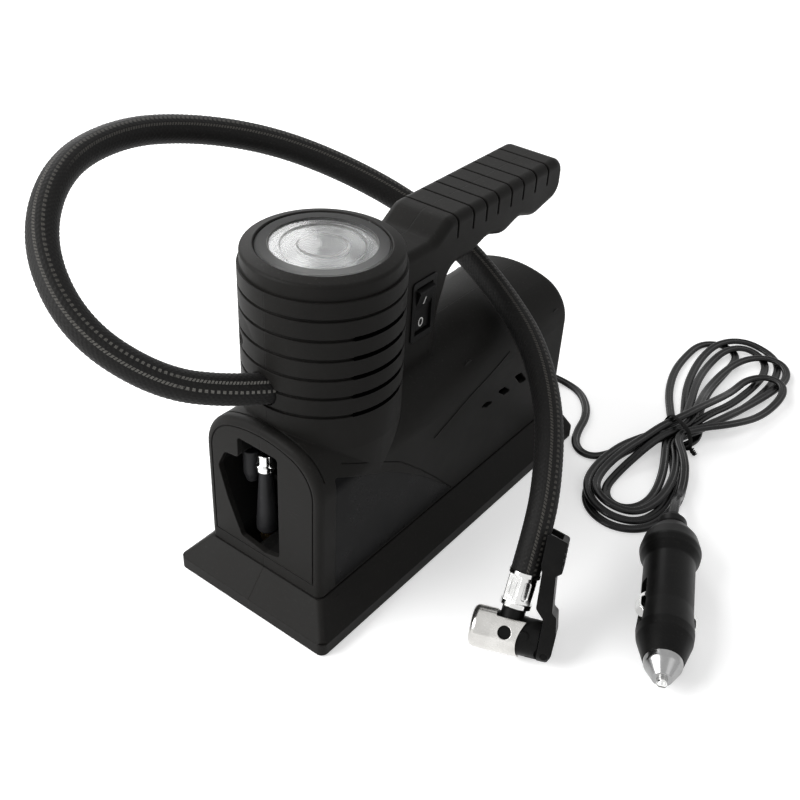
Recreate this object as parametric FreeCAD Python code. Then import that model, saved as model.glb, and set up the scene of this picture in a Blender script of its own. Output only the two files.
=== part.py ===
import FreeCAD, Part
import math
import os

V = FreeCAD.Vector

# Driving dimensions in mm. The axis of the lamp tower is the origin of all Y values below;
# save() moves every piece along Y so that the middle of the base is at the origin.

# Base plinth and feet
baseLength = 185.4
baseHalfWidth = 38.6
baseCornerRadius = 3.0
footHeight = 1.0
footRadius = 5.0
footPegRadius = 2.4
bandTop = 6.3
slopeTop = 17.3
grooveUnderBody = 0.8
frontOverhang = 9.4
rearOverhang = 4.0

# Body above the plinth: flat sides, round shoulders and a flatter crown
towerToFront = 34.0
bodyHalfWidth = 28.8
bodyTop = 85.0
crownArc = 50.0
shoulderArc = 19.0
wall = 2.2
frontRounding = 2.8
rearRounding = 4.0

# Lamp tower
towerRadius = 30.0
towerTop = 139.2
bezelRadius = 29.05
bezelShoulder = 145.0
bezelTop = 146.3
windowLip = 0.9
windowRadius = 23.7
ringGroove = 1.3
ringGrooveDepth = 1.0
ringPitch = 7.88
ringCount = 6
slotHalfWidth = 13.5

# Handle column and grip
gripHalfWidth = 14.0
gripTop = 138.2
shelfTop = 132.4
gripEnd = 141.2
gripRounding = 3.6
gripGrooveWidth = 1.2
gripGrooveDepth = 0.9

# Pump and motor
module = 0.7
pinionTeeth = 12
gearTeeth = 42
motorAxisZ = 23.1
motorRadius = 17.9
motorFront = 16.0
motorRear = 66.0
crankThrow = 5.0
rodLength = 27.5
pistonRadius = 10.95
boreRadius = 11.0
runningFit = 0.03

# Hose and cord
hoseDiameter = 11.5
cordDiameter = 4.2
hoseHoleZ = 97.5
hoseInside = V(0, -23.0, hoseHoleZ)
hoseExitAim = V(-0.28, -0.93, 0.24).normalize()

# Screws that join the two shells
screwShankRadius = 1.4
screwHeadRadius = 2.9
counterbore = 3.0
screwSeat = -9.0

bodyFront = -towerToFront
bodyRear = baseLength - frontOverhang - rearOverhang - towerToFront
baseFront = bodyFront - frontOverhang
baseRear = bodyRear + rearOverhang
towerY = -baseLength / 2 - baseFront
crownCentreZ = bodyTop - crownArc
shoulderCentreX = bodyHalfWidth - shoulderArc
shoulderCentreZ = crownCentreZ + math.sqrt((crownArc - shoulderArc) ** 2 - shoulderCentreX ** 2)
gearAxisZ = motorAxisZ + module * (pinionTeeth + gearTeeth) / 2
pinZ = gearAxisZ + crankThrow
smallEndZ = pinZ + rodLength
towerInner = towerRadius - wall


def block(x0, x1, y0, y1, z0, z1):
    return Part.makeBox(x1 - x0, y1 - y0, z1 - z0, V(x0, y0, z0))


def disc(radius, start, length, axis=V(0, 0, 1)):
    return Part.makeCylinder(radius, length, start, axis)


def ring(outer, inner, start, length, axis=V(0, 0, 1)):
    return disc(outer, start, length, axis).cut(disc(inner, start, length, axis))


def join(first, *others):
    return first.multiFuse(list(others)).removeSplitter()


def cornerArcs(points):
    """Start, middle and end of the arc at each corner of a closed outline of (a, b, radius)."""
    corners = []
    count = len(points)
    for k in range(count):
        here = V(points[k][0], points[k][1], 0)
        before = V(points[k - 1][0], points[k - 1][1], 0)
        after = V(points[(k + 1) % count][0], points[(k + 1) % count][1], 0)
        radius = points[k][2]
        if radius <= 0:
            corners.append((here, here, here))
            continue
        toBefore = (before - here).normalize()
        toAfter = (after - here).normalize()
        half = toBefore.getAngle(toAfter) / 2
        reach = radius / math.tan(half)
        centre = here + (toBefore + toAfter).normalize() * (radius / math.sin(half))
        middle = centre + (here - centre).normalize() * radius
        corners.append((here + toBefore * reach, middle, here + toAfter * reach))
    return corners


def outline(points, toSpace):
    """Wire through the rounded corners; toSpace turns (a, b) into a point."""
    corners = cornerArcs(points)
    edges = []
    for k in range(len(corners)):
        start, middle, end = [toSpace(p.x, p.y) for p in corners[k]]
        if start.distanceToPoint(end) > 1e-6:
            edges.append(Part.Arc(start, middle, end).toShape())
        nextStart = corners[(k + 1) % len(corners)][0]
        following = toSpace(nextStart.x, nextStart.y)
        if following.distanceToPoint(end) > 1e-6:
            edges.append(Part.makeLine(end, following))
    return Part.Wire(edges)


def alongX(points, x0, x1):
    face = Part.Face(outline(points, lambda a, b: V(x0, a, b)))
    return face.extrude(V(x1 - x0, 0, 0))


def alongY(points, y0, y1):
    face = Part.Face(outline(points, lambda a, b: V(a, y0, b)))
    return face.extrude(V(0, y1 - y0, 0))


def alongZ(points, z0, z1):
    face = Part.Face(outline(points, lambda a, b: V(a, b, z0)))
    return face.extrude(V(0, 0, z1 - z0))


def turned(points, centre=V(0, 0, 0), axis=V(0, 0, 1)):
    """Solid of revolution of a closed (radius, height) outline about an axis through centre."""
    side = V(1, 0, 0) if abs(axis.x) < 0.9 else V(0, 1, 0)
    across = (side - axis * side.dot(axis)).normalize()
    wire = outline(points, lambda a, b: centre + across * a + axis * b)
    return Part.Face(wire).revolve(centre, axis, 360)


def insetOutline(points, distance):
    """Moves each side of a counter-clockwise outline inwards; corner radii follow."""
    moved = []
    count = len(points)
    for k in range(count):
        a0, b0, _ = points[k - 1]
        a1, b1, radius = points[k]
        a2, b2, _ = points[(k + 1) % count]
        first = V(a1 - a0, b1 - b0, 0).normalize()
        second = V(a2 - a1, b2 - b1, 0).normalize()
        firstIn = V(-first.y, first.x, 0)
        secondIn = V(-second.y, second.x, 0)
        turn = first.x * second.y - first.y * second.x
        shift = (firstIn + secondIn) * (distance / (1 + firstIn.dot(secondIn)))
        corner = 0
        if radius > 0:
            corner = max(radius - distance, 0.4) if turn > 0 else radius + distance
        moved.append((a1 + shift.x, b1 + shift.y, corner))
    return moved


def bodySection(inset, bottom, y):
    """Face across the body: flat bottom, flat sides, shoulders and crown, all moved in by inset."""
    half = bodyHalfWidth - inset
    crown = crownArc - inset
    shoulder = shoulderArc - inset
    reach = V(shoulderCentreX, 0, shoulderCentreZ - crownCentreZ).normalize()
    meet = V(0, y, crownCentreZ) + reach * crown
    mid = V(reach.x + 1, 0, reach.z).normalize()
    rightMid = V(shoulderCentreX, y, shoulderCentreZ) + mid * shoulder
    rightTop = V(half, y, shoulderCentreZ)
    mirror = lambda p: V(-p.x, p.y, p.z)
    low = V(half, y, bottom)
    edges = [
        Part.makeLine(mirror(low), low),
        Part.makeLine(low, rightTop),
        Part.Arc(rightTop, rightMid, meet).toShape(),
        Part.Arc(meet, V(0, y, crownCentreZ + crown), mirror(meet)).toShape(),
        Part.Arc(mirror(meet), mirror(rightMid), mirror(rightTop)).toShape(),
        Part.makeLine(mirror(rightTop), mirror(low)),
    ]
    return Part.Face(Part.Wire(edges))


def bodyBlock(inset, bottom, y0, y1):
    return bodySection(inset, bottom, y0).extrude(V(0, y1 - y0, 0))


def plan(half, front, rear, radius):
    return [(-half, front, radius), (half, front, radius), (half, rear, radius), (-half, rear, radius)]


def plinth(half, front, rear, bottom, shoulder, topHalf, topFront, topRear, top):
    """Four-sided plinth: a vertical band up to the shoulder, then slopes up to the top outline."""
    across = [(-half, bottom, 0), (half, bottom, 0), (half, shoulder, 0), (topHalf, top, 0), (-topHalf, top, 0),
              (-half, shoulder, 0)]
    lengthways = [(front, bottom, 0), (rear, bottom, 0), (rear, shoulder, 0), (topRear, top, 0), (topFront, top, 0),
                  (front, shoulder, 0)]
    return alongY(across, front - 1, rear + 1).common(alongX(lengthways, -half - 1, half + 1))


def cordEdges(points, reachLimit=1e9):
    """Straight runs joined by tangent arcs, each arc as large as 0.45 of its shorter run allows."""
    points = [V(*p) for p in points]
    edges = []
    smallest = 1e9
    last = points[0]
    for k in range(1, len(points) - 1):
        back = points[k - 1] - points[k]
        ahead = points[k + 1] - points[k]
        reach = min(0.45 * min(back.Length, ahead.Length), reachLimit)
        back.normalize()
        ahead.normalize()
        half = back.getAngle(ahead) / 2
        radius = reach * math.tan(half)
        smallest = min(smallest, radius)
        start = points[k] + back * reach
        end = points[k] + ahead * reach
        centre = points[k] + (back + ahead).normalize() * (radius / math.sin(half))
        middle = centre + (points[k] - centre).normalize() * radius
        edges.append(Part.makeLine(last, start))
        edges.append(Part.Arc(start, middle, end).toShape())
        last = end
    edges.append(Part.makeLine(last, points[-1]))
    return edges, smallest


def tube(edges, radius):
    spine = Part.Wire(edges)
    start = edges[0].valueAt(edges[0].FirstParameter)
    heading = edges[0].tangentAt(edges[0].FirstParameter)
    circle = Part.Wire([Part.makeCircle(radius, start, heading)])
    solid = spine.makePipeShell([circle], True, False)
    expected = math.pi * radius ** 2 * spine.Length
    print("tube: length %.1f, volume ratio %.4f, valid %s" % (spine.Length, solid.Volume / expected, solid.isValid()))
    return solid


def selfGap(edges, diameter):
    """Least gap between parts of the tube, measured on points of its centre line."""
    samples = []
    travelled = 0.0
    for edge in edges:
        count = max(2, int(edge.Length / 2.0))
        for k in range(count):
            at = edge.FirstParameter + (edge.LastParameter - edge.FirstParameter) * k / count
            samples.append((travelled + edge.Length * k / count, edge.valueAt(at)))
        travelled += edge.Length
    least = 1e9
    for k, (s, p) in enumerate(samples):
        for t, q in samples[k + 1:]:
            if t - s > 4 * diameter:
                least = min(least, p.distanceToPoint(q))
    return least - diameter


def helixCoil(radius, wire, pitch, turns, start, axis):
    """Round spring wire on quarter-turn arcs that climb evenly along the axis."""
    side = V(1, 0, 0) if abs(axis.x) < 0.9 else V(0, 1, 0)
    first = (side - axis * side.dot(axis)).normalize()
    second = axis.cross(first)
    at = lambda turn: start + axis * (pitch * turn) + (
        first * math.cos(2 * math.pi * turn) + second * math.sin(2 * math.pi * turn)) * radius
    edges = []
    for k in range(int(turns * 4)):
        edges.append(Part.Arc(at(k / 4), at(k / 4 + 0.125), at(k / 4 + 0.25)).toShape())
    spine = Part.Wire(edges)
    heading = edges[0].tangentAt(edges[0].FirstParameter)
    circle = Part.Wire([Part.makeCircle(wire / 2, at(0), heading)])
    return spine.makePipeShell([circle], True, False)


def gear(teeth, y0, y1, axisZ, phase):
    """Spur gear with straight-flanked teeth, slimmer than half the pitch for backlash."""
    pitchRadius = module * teeth / 2
    tip = pitchRadius + module * 0.95
    root = pitchRadius - module * 1.2
    step = 2 * math.pi / teeth
    points = []
    for k in range(teeth):
        centre = phase + k * step
        for part, radius in ((-0.30, root), (-0.13, tip), (0.13, tip), (0.30, root)):
            angle = centre + part * step
            points.append((radius * math.cos(angle), axisZ + radius * math.sin(angle), 0))
    return alongY(points, y0, y1)


def placed(shape, placement):
    moved = shape.copy()
    moved.Placement = placement.multiply(moved.Placement)
    return moved


pieces = {}


def save(name, shape):
    pieces[name] = placed(shape, FreeCAD.Placement(V(0, towerY, 0), FreeCAD.Rotation()))


# Handle outline in (y, z), counter-clockwise seen from +X
handleOutline = [
    (15.0, 80.0, 0), (52.0, 80.0, 0), (53.2, 94.0, 12), (54.8, 102.0, 12), (60.5, 117.2, 7),
    (74.0, 116.9, 10), (86.0, 120.6, 10), (97.5, 116.9, 10), (109.0, 120.6, 10), (121.0, 116.8, 10),
    (141.2, 121.0, 8), (gripEnd, gripTop, 6.5), (57.5, gripTop, 7), (48.5, shelfTop, 6),
    (15.0, shelfTop, 0),
]
gripGrooves = [128.0, 118.5, 109.0, 100.0, 90.5, 82.0, 73.0, 62.5]

# Places of the shell screws in (y, z) and how far their bosses reach from the joint
screwPlaces = [
    (bodyFront + 8.0, 12.0, 31.0), (bodyRear - 50.0, 12.0, 31.0), (bodyRear - 9.0, 12.0, 31.0),
    (bodyRear - 10.0, 70.0, 27.0), (bodyRear - 76.0, 74.0, 24.8),
    (-23.6, 112.2, 24.0), (44.0, 125.2, 13.0), (90.0, 129.2, 13.0), (130.5, 127.6, 13.0),
]

# Accessory bay outline in (x, z), counter-clockwise seen from the front
bayOutline = [
    (-11.5, 27.1, 2), (0.8, 25.1, 2), (8.4, 27.0, 2), (8.4, 75.3, 1.5), (-11.5, 75.5, 1.5),
    (-11.5, 66.0, 1.5), (-18.5, 65.2, 3), (-22.4, 57.0, 4), (-18.2, 42.9, 6),
]
bayFloorY = bodyFront + 16.0
nozzleX = -8.4
nozzleY = bayFloorY - 4.9
nozzleRadius = 4.3

# Outer skin
body = bodyBlock(0, 3.0, bodyFront, bodyRear)
frontEdges = [e for e in body.Edges if all(abs(v.Y - bodyFront) < 0.01 for v in e.Vertexes)
              and max(v.Z for v in e.Vertexes) > 10]
rearEdges = [e for e in body.Edges if all(abs(v.Y - bodyRear) < 0.01 for v in e.Vertexes)
             and max(v.Z for v in e.Vertexes) > 10]
body = body.makeFillet(frontRounding, frontEdges)
rearEdges = [e for e in body.Edges if all(abs(v.Y - bodyRear) < 0.01 for v in e.Vertexes)
             and max(v.Z for v in e.Vertexes) > 10]
body = body.makeFillet(rearRounding, rearEdges)

base = plinth(baseHalfWidth, baseFront, baseRear, footHeight, bandTop, bodyHalfWidth + 0.3, bodyFront - 0.3,
              bodyRear + 0.3, slopeTop)
corners = [e for e in base.Edges if abs(e.Vertexes[0].Z - e.Vertexes[1].Z) > 1.0]
base = base.makeFillet(baseCornerRadius, corners)
belowBody = alongZ(plan(bodyHalfWidth + 2, bodyFront - 2, bodyRear + 2, 0), slopeTop,
                   slopeTop + grooveUnderBody)
belowBody = belowBody.cut(alongZ(plan(bodyHalfWidth - 0.6, bodyFront + 0.6, bodyRear - 0.6, frontRounding),
                                 slopeTop - 1, slopeTop + 3))

tower = disc(towerRadius, V(0, 0, 78.0), towerTop - 78.0)
towerTaper = Part.makeCone(towerRadius - 1.9, towerRadius, 26.0, V(0, 0, 52.0))

handle = alongX(handleOutline, -gripHalfWidth, gripHalfWidth)
longEdges = []
for edge in handle.Edges:
    ends = edge.Vertexes
    onSide = all(abs(abs(v.X) - gripHalfWidth) < 0.01 for v in ends) and abs(ends[0].X - ends[-1].X) < 0.01
    clear = all(v.Y > 40 or v.Z > 130 for v in ends) and not all(v.Z < 80.1 for v in ends)
    if onSide and clear and not (ends[0].Y < 15.1 and ends[-1].Y < 15.1):
        longEdges.append(edge)
handle = handle.makeFillet(gripRounding, longEdges)

gripCore = block(-gripHalfWidth + gripGrooveDepth, gripHalfWidth - gripGrooveDepth, 40, gripEnd - 2.0,
                 100.0, gripTop - gripGrooveDepth)
gripCore = gripCore.makeFillet(gripRounding - gripGrooveDepth,
                               [e for e in gripCore.Edges if abs(e.Vertexes[0].Z - (gripTop - gripGrooveDepth)) < 0.01
                                and abs(e.Vertexes[1].Z - (gripTop - gripGrooveDepth)) < 0.01
                                and abs(e.Vertexes[0].X - e.Vertexes[1].X) < 0.01])
for y in gripGrooves:
    cutter = block(-20, 20, y - gripGrooveWidth / 2, y + gripGrooveWidth / 2, 129.0, gripTop + 2)
    handle = handle.cut(cutter.cut(gripCore))

outer = join(body, base, tower, towerTaper, handle)
outer = outer.cut(belowBody)

# Rings round the tower, with open slots on its two sides
columnGap = block(-gripHalfWidth - 0.01, gripHalfWidth + 0.01, 20, 40, 85, 136)
for k in range(ringCount):
    z = shelfTop - ringPitch * k
    groove = ring(towerRadius + 2, towerRadius - ringGrooveDepth, V(0, 0, z - ringGroove / 2), ringGroove)
    outer = outer.cut(groove.cut(columnGap))

# Raised collar line behind the front face and the incised line round the front panel
collar = bodyBlock(-1, 72.0, -30.2, -29.5).cut(bodyBlock(0.5, 60.0, -31, -29))
panelLine = bodyBlock(3.2, 23.2, bodyFront - 1, bodyFront + 0.45)
panelLine = panelLine.cut(bodyBlock(3.8, 23.8, bodyFront - 2, bodyFront + 1))
outer = outer.cut(collar).cut(panelLine)

# Label recess on the right side and the two lines above it
labelOutline = [(-25.0, 18.9, 0.8), (52.0, 18.9, 0.8), (40.5, 29.0, 20), (27.3, 40.8, 20), (6.7, 55.7, 30),
                (-25.0, 71.8, 1.2)]
labelDepth = 0.4
skin = bodyBlock(0, 15.0, bodyFront, bodyRear).cut(bodyBlock(labelDepth, 14.0, bodyFront - 1, bodyRear + 1))
label = skin.common(alongX(labelOutline, 20, 30))


def lineOnSide(points, width):
    """Slim strip along a polyline of (y, z), as a prism through the side wall."""
    over = []
    under = []
    for k in range(len(points)):
        before = points[max(k - 1, 0)]
        after = points[min(k + 1, len(points) - 1)]
        along = V(after[0] - before[0], after[1] - before[1], 0).normalize()
        over.append((points[k][0] - along.y * width / 2, points[k][1] + along.x * width / 2, 0))
        under.append((points[k][0] + along.y * width / 2, points[k][1] - along.x * width / 2, 0))
    return alongX(under + over[::-1], 20, 32)


archLine = lineOnSide([(-19.4, 74.2), (-3.1, 66.5), (12.8, 56.9), (26.9, 44.3), (38.4, 33.0), (51.5, 19.0)], 0.5)
outer = outer.cut(skin.common(archLine)).cut(label)
creaseHeight = 0.3
creaseSkin = bodyBlock(-creaseHeight, 15.0, bodyFront, bodyRear).cut(bodyBlock(0.6, 14.0, bodyFront - 1, bodyRear + 1))
crease = lineOnSide([(35.5, 55.2), (60.0, 63.2), (89.5, 70.0)], 0.5)
outer = join(outer, creaseSkin.common(crease))

# Leaf-shaped vents that grow and tilt more towards the rear, on both sides
ventPitch = 13.3
ventHalf = 5.9
for k in range(4):
    y = bodyRear - 64.3 + ventPitch * k
    drop = 1.3 + 1.3 * k
    half = 1.5 + 0.75 * k
    vent = [(y - ventHalf, 51.0 + drop, 0.6), (y, 51.0 - half, 2.0), (y + ventHalf, 51.0 - drop, 0.6),
            (y, 51.0 + half, 2.0)]
    outer = outer.cut(alongX(vent, -35, 35))

# Openings for the hose, the switch, the accessory bay and the cord
outer = outer.cut(disc(hoseDiameter / 2 + 0.4, hoseInside - hoseExitAim * 2, 16, hoseExitAim))
outer = outer.cut(alongY(bayOutline, bodyFront - 1, bodyFront + wall + 0.5))
switchMiddle = (42.2, 106.8)
frameFlange = plan(7.4, -13.2, 13.2, 1.5)
frameBody = plan(5.7, -11.2, 11.2, 0.8)


def onSwitch(points, x0, x1):
    return alongX([(switchMiddle[0] + a, switchMiddle[1] + b, r) for a, b, r in points], x0, x1)


outer = outer.cut(onSwitch(frameFlange, gripHalfWidth - 0.7, gripHalfWidth + 2))
outer = outer.cut(onSwitch(frameBody, gripHalfWidth - 4, gripHalfWidth + 2))
cordExitZ = 9.0
gripThroat = 4.6
outer = outer.cut(disc(gripThroat, V(0, bodyRear - 6, cordExitZ), 14, V(0, 1, 0)))

# Hollow inside
floorTop = footHeight + wall
plinthHollow = plinth(baseHalfWidth - wall, baseFront + wall, baseRear - wall, floorTop, bandTop - 0.6,
                      bodyHalfWidth - wall - 1.0, bodyFront + wall + 1.0, bodyRear - wall - 1.0, slopeTop + 0.4)
towerHollow = disc(towerInner, V(0, 0, 78.6), towerTop - 78.6 + 1)
handleHollow = alongX(insetOutline(handleOutline, 2.4), -gripHalfWidth + 2.4, gripHalfWidth - 2.4)

# Slots through the tower's walls behind the rings
shell = outer
for k in range(1, ringCount):
    z = shelfTop - ringPitch * k
    shell = shell.cut(block(-40, 40, -slotHalfWidth, slotHalfWidth, z - ringGroove / 2, z + ringGroove / 2))
shell = shell.cut(bodyBlock(wall, floorTop, bodyFront + wall, bodyRear - wall))
shell = shell.cut(plinthHollow)
shell = shell.cut(towerHollow).cut(handleHollow)

# Motor cradles, guides for the pump frame, ribs and the ledges round the lamp holder
within = bodyBlock(1.0, 1.6, bodyFront + 1, bodyRear - 1)
motorSpace = disc(motorRadius, V(0, motorFront, motorAxisZ), 60, V(0, 1, 0))
for y in (23.0, 55.0):
    shell = shell.fuse(block(-40, 40, y, y + 2, 1.5, 30).common(within).cut(motorSpace))
for x in (-40, 16.2):
    guide = block(x, x + 23.8, 8.8, 18.2, 20, 56).common(within)
    shell = shell.fuse(guide.cut(block(-18, 18, 11, 16, 0, 70)).cut(motorSpace))
for y in (80.4, 93.6):
    shell = shell.fuse(block(-40, 40, y, y + 1.6, 1.5, 90).common(within).cut(bodyBlock(6.5, 8.0, y - 5, y + 5)))
for z in (115.6, 118.6):
    ledge = ring(towerInner + 0.5, 25.6, V(0, 0, z), 1.4)
    shell = shell.fuse(ledge.cut(block(-20, 20, 15, 40, 110, 125)))
for y, low in ((108.0, 121.6), (72.0, 118.4)):
    rib = block(-gripHalfWidth + 1.2, gripHalfWidth - 1.2, y, y + 1.4, low, gripTop - 1.2)
    shell = shell.fuse(rib.cut(block(-9.0, 9.0, y - 2, y + 4, 124.5, 133.5)))
shell = shell.removeSplitter()

left = shell.common(block(-60, 0, -60, 160, -5, 160))
right = shell.common(block(0, 60, -60, 160, -5, 160))
along = V(1, 0, 0)
for y, z, reach in screwPlaces:
    leftBoss = disc(4.4, V(-reach, y, z), reach, along)
    rightBoss = disc(3.4, V(0, y, z), reach, along)
    if y < -20 and z > 100:
        leftBoss = leftBoss.common(disc(towerRadius - 0.6, V(0, 0, 90), 40))
        rightBoss = rightBoss.common(disc(towerRadius - 0.6, V(0, 0, 90), 40))
    left = left.fuse(leftBoss)
    right = right.fuse(rightBoss)
left = left.removeSplitter()
right = right.removeSplitter()
screws = []
for y, z, reach in screwPlaces:
    left = left.cut(disc(counterbore, V(-45, y, z), 45 + screwSeat, along))
    left = left.cut(disc(screwShankRadius + 0.1, V(screwSeat - 1, y, z), 1 - screwSeat, along))
    right = right.cut(disc(screwShankRadius, V(-1, y, z), 9.5, along))
    screw = join(disc(screwHeadRadius, V(screwSeat - 2.0, y, z), 2.0, along),
                 disc(screwShankRadius, V(screwSeat, y, z), 8.0 - screwSeat, along))
    slot = join(block(screwSeat - 2.1, screwSeat - 0.9, y - 1.9, y + 1.9, z - 0.35, z + 0.35),
                block(screwSeat - 2.1, screwSeat - 0.9, y - 0.35, y + 0.35, z - 1.9, z + 1.9))
    screws.append(screw.cut(slot))

# Feet
feet = []
for x in (-30.0, 30.0):
    for y in (baseFront + 11.0, baseRear - 11.0):
        pegHole = disc(footPegRadius, V(x, y, footHeight - 1), wall + 2)
        left = left.cut(pegHole)
        right = right.cut(pegHole)
        pad = turned([(0, 0, 0), (footRadius - 0.4, 0, 0), (footRadius, footHeight, 0), (0, footHeight, 0)], V(x, y, 0))
        feet.append(join(pad, disc(footPegRadius, V(x, y, footHeight), wall)))

save("housing_left", left)
save("housing_right", right)
save("housing_screws", Part.makeCompound(screws))
save("rubber_feet", Part.makeCompound(feet))
save("label_plate", label)

# Work light: bezel, stepped clear lens, seal, reflector, bulb and its holder
bezel = turned([(25.4, 134.2, 0), (towerInner, 134.2, 0), (towerInner, towerTop, 0), (bezelRadius, towerTop, 0),
                (bezelRadius, bezelShoulder, 1.4), (windowRadius + 0.6, bezelTop, 0.4), (windowRadius, bezelTop - windowLip, 0),
                (25.4, bezelTop - windowLip, 0)])
lensTop = bezelTop - windowLip
lens = turned([(0, lensTop - 2.4, 0), (25.4, lensTop - 2.4, 0), (25.4, lensTop, 0), (23.3, lensTop, 0),
               (23.0, lensTop + 0.7, 0), (19.2, lensTop + 0.8, 0), (18.8, lensTop + 0.2, 0),
               (15.2, lensTop + 0.3, 0), (14.8, lensTop - 0.3, 0), (9.2, lensTop - 0.2, 0),
               (8.8, lensTop + 0.3, 0), (0, lensTop + 0.5, 0)])
seal = ring(25.4, 23.4, V(0, 0, lensTop - 3.2), 0.8)
reflectorTop = lensTop - 3.2
reflector = turned([(3.4, 126.2, 0), (6.5, 126.4, 0), (15.2, 132.0, 0), (19.9, reflectorTop - 0.9, 0),
                    (25.4, reflectorTop - 0.9, 0), (25.4, reflectorTop, 0), (19.0, reflectorTop, 0),
                    (14.4, 133.0, 0), (6.2, 127.5, 0), (3.4, 127.3, 0)])
holderPlate = disc(towerInner - 0.2, V(0, 0, 117.0), 1.6)
holderPlate = holderPlate.cut(block(-16, 16, 15.5, 40, 110, 125)).cut(block(-10, 10, -40, -18, 110, 125))
for angle in (40, 140, 220, 320):
    spot = V(19 * math.cos(math.radians(angle)), 19 * math.sin(math.radians(angle)), 116)
    holderPlate = holderPlate.cut(disc(4.2, spot, 4))
lampHolder = join(holderPlate, disc(5.6, V(0, 0, 117.0), 9.2)).cut(disc(3.0, V(0, 0, 119.5), 10))
bulb = turned([(0, 119.5, 0), (3.0, 119.5, 0), (3.0, 126.6, 0), (2.8, 127.4, 0), (2.8, 131.4, 0), (1.6, 133.4, 0),
               (0, 133.9, 0)])
save("light_bezel", bezel)
save("lens", lens)
save("lens_seal", seal)
save("reflector", reflector)
save("lamp_holder", lampHolder)
save("lamp_bulb", bulb)

# Rocker switch on the right side of the column
rockerHalfY = 5.0
rockerHalfZ = 10.2
pivotX = 11.6
frame = join(onSwitch(frameFlange, gripHalfWidth - 0.7, gripHalfWidth + 0.6), onSwitch(frameBody, 2.6, gripHalfWidth - 0.7))
frame = frame.cut(onSwitch(plan(rockerHalfY + 0.1, -rockerHalfZ - 0.3, rockerHalfZ + 0.3, 0), 4.0, gripHalfWidth + 2))
pivotBoss = join(disc(1.3, V(pivotX, switchMiddle[0] - rockerHalfY - 0.1, switchMiddle[1]), 1.0, V(0, 1, 0)),
                 disc(1.3, V(pivotX, switchMiddle[0] + rockerHalfY - 0.9, switchMiddle[1]), 1.0, V(0, 1, 0)))
rockerSide = [(pivotX - 5.2, -4.0, 1), (pivotX - 5.2, 4.0, 1), (pivotX + 0.6, rockerHalfZ - 0.2, 0),
              (pivotX + 3.4, rockerHalfZ - 0.5, 0.6), (pivotX + 2.0, 0, 14), (pivotX + 3.4, -rockerHalfZ + 0.5, 0.6),
              (pivotX + 0.6, -rockerHalfZ + 0.2, 0)]
rockerFace = Part.Face(outline(rockerSide[::-1], lambda a, b: V(a, switchMiddle[0] - rockerHalfY, switchMiddle[1] + b)))
rocker = rockerFace.extrude(V(0, 2 * rockerHalfY, 0))
rocker = rocker.cut(disc(1.3 + runningFit, V(pivotX, switchMiddle[0] - 8, switchMiddle[1]), 4.0 + 0.1, V(0, 1, 0)))
rocker = rocker.cut(disc(1.3 + runningFit, V(pivotX, switchMiddle[0] + 3.9, switchMiddle[1]), 4.0, V(0, 1, 0)))
rockerRest = 9.0
rocker.rotate(V(pivotX, 0, switchMiddle[1]), V(0, 1, 0), rockerRest)
save("switch_frame", join(frame, pivotBoss))
save("rocker", rocker)

# Accessory bay tray and what is clipped into it
trayBack = 1.5
trayOuter = insetOutline(bayOutline, -1.5)
tray = alongY(trayOuter, bodyFront + wall, bayFloorY + trayBack)
tray = tray.cut(alongY(bayOutline, bodyFront, bayFloorY))
pocketHalf = nozzleRadius + 0.2
pocketLow = 19.5
pocketOuter = block(nozzleX - pocketHalf - trayBack, nozzleX + pocketHalf + trayBack, bodyFront + wall,
                    bayFloorY + trayBack, pocketLow - trayBack, 30)
tray = join(tray, pocketOuter)
tray = tray.cut(block(nozzleX - pocketHalf, nozzleX + pocketHalf, bodyFront, bayFloorY, pocketLow, 31))
tray = tray.cut(alongY(bayOutline, bodyFront, bayFloorY))
clipLow = block(nozzleX - 5.2, nozzleX + 5.2, bayFloorY - 3.0, bayFloorY, 32, 34)
clipHigh = block(nozzleX - 4.2, nozzleX + 4.2, bayFloorY - 3.0, bayFloorY, 51, 53)
needleX = 2.0
needleY = bayFloorY - 3.4
needleClip = block(needleX - 2.4, needleX + 2.4, bayFloorY - 4.4, bayFloorY, 52, 54)
adapterRadius = 3.3
adapterSpot = (-16.4, bayFloorY - 4.4)
adapterClip = block(adapterSpot[0] - 3.0, adapterSpot[0] + 3.0, bayFloorY - 2.4, bayFloorY, 56, 58)
brassLow = pocketLow + 0.3
bodyLow = brassLow + 6.2
headLow = 55.3
nozzle = turned([(0, bodyLow, 0), (nozzleRadius, bodyLow, 0), (nozzleRadius, bodyLow + 3.0, 0), (2.6, headLow - 2.0, 0),
                 (2.6, headLow, 0), (0, headLow, 0)], V(nozzleX, nozzleY, 0))
nozzle = nozzle.cut(disc(1.2, V(nozzleX, nozzleY, pocketLow - 1), 50))
head = turned([(1.2, headLow, 0), (3.7, headLow, 0.5), (3.7, headLow + 2.6, 0.4), (2.9, headLow + 3.4, 0),
               (2.9, headLow + 7.6, 0.7), (1.2, headLow + 8.0, 0)], V(nozzleX, nozzleY, 0))
brassTip = turned([(1.2, brassLow, 0), (2.7, brassLow, 0.5), (3.2, bodyLow, 0), (1.2, bodyLow, 0)],
                  V(nozzleX, nozzleY, 0))
needle = turned([(0, 31.0, 0), (0.9, 31.6, 0), (0.9, 58.0, 0), (2.2, 58.0, 0), (2.2, 63.0, 0), (3.1, 63.0, 0),
                 (3.1, 67.0, 0.4), (0, 67.0, 0)], V(needleX, needleY, 0))
adapter = turned([(1.2, 46.0, 0), (2.1, 46.0, 0), (adapterRadius, 50.0, 0), (adapterRadius, 61.0, 0.5), (1.2, 61.0, 0)],
                 V(adapterSpot[0], adapterSpot[1], 0))
clips = join(clipLow, clipHigh, needleClip, adapterClip)
clips = clips.cut(nozzle).cut(needle).cut(disc(adapterRadius, V(adapterSpot[0], adapterSpot[1], 50), 11))
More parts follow.
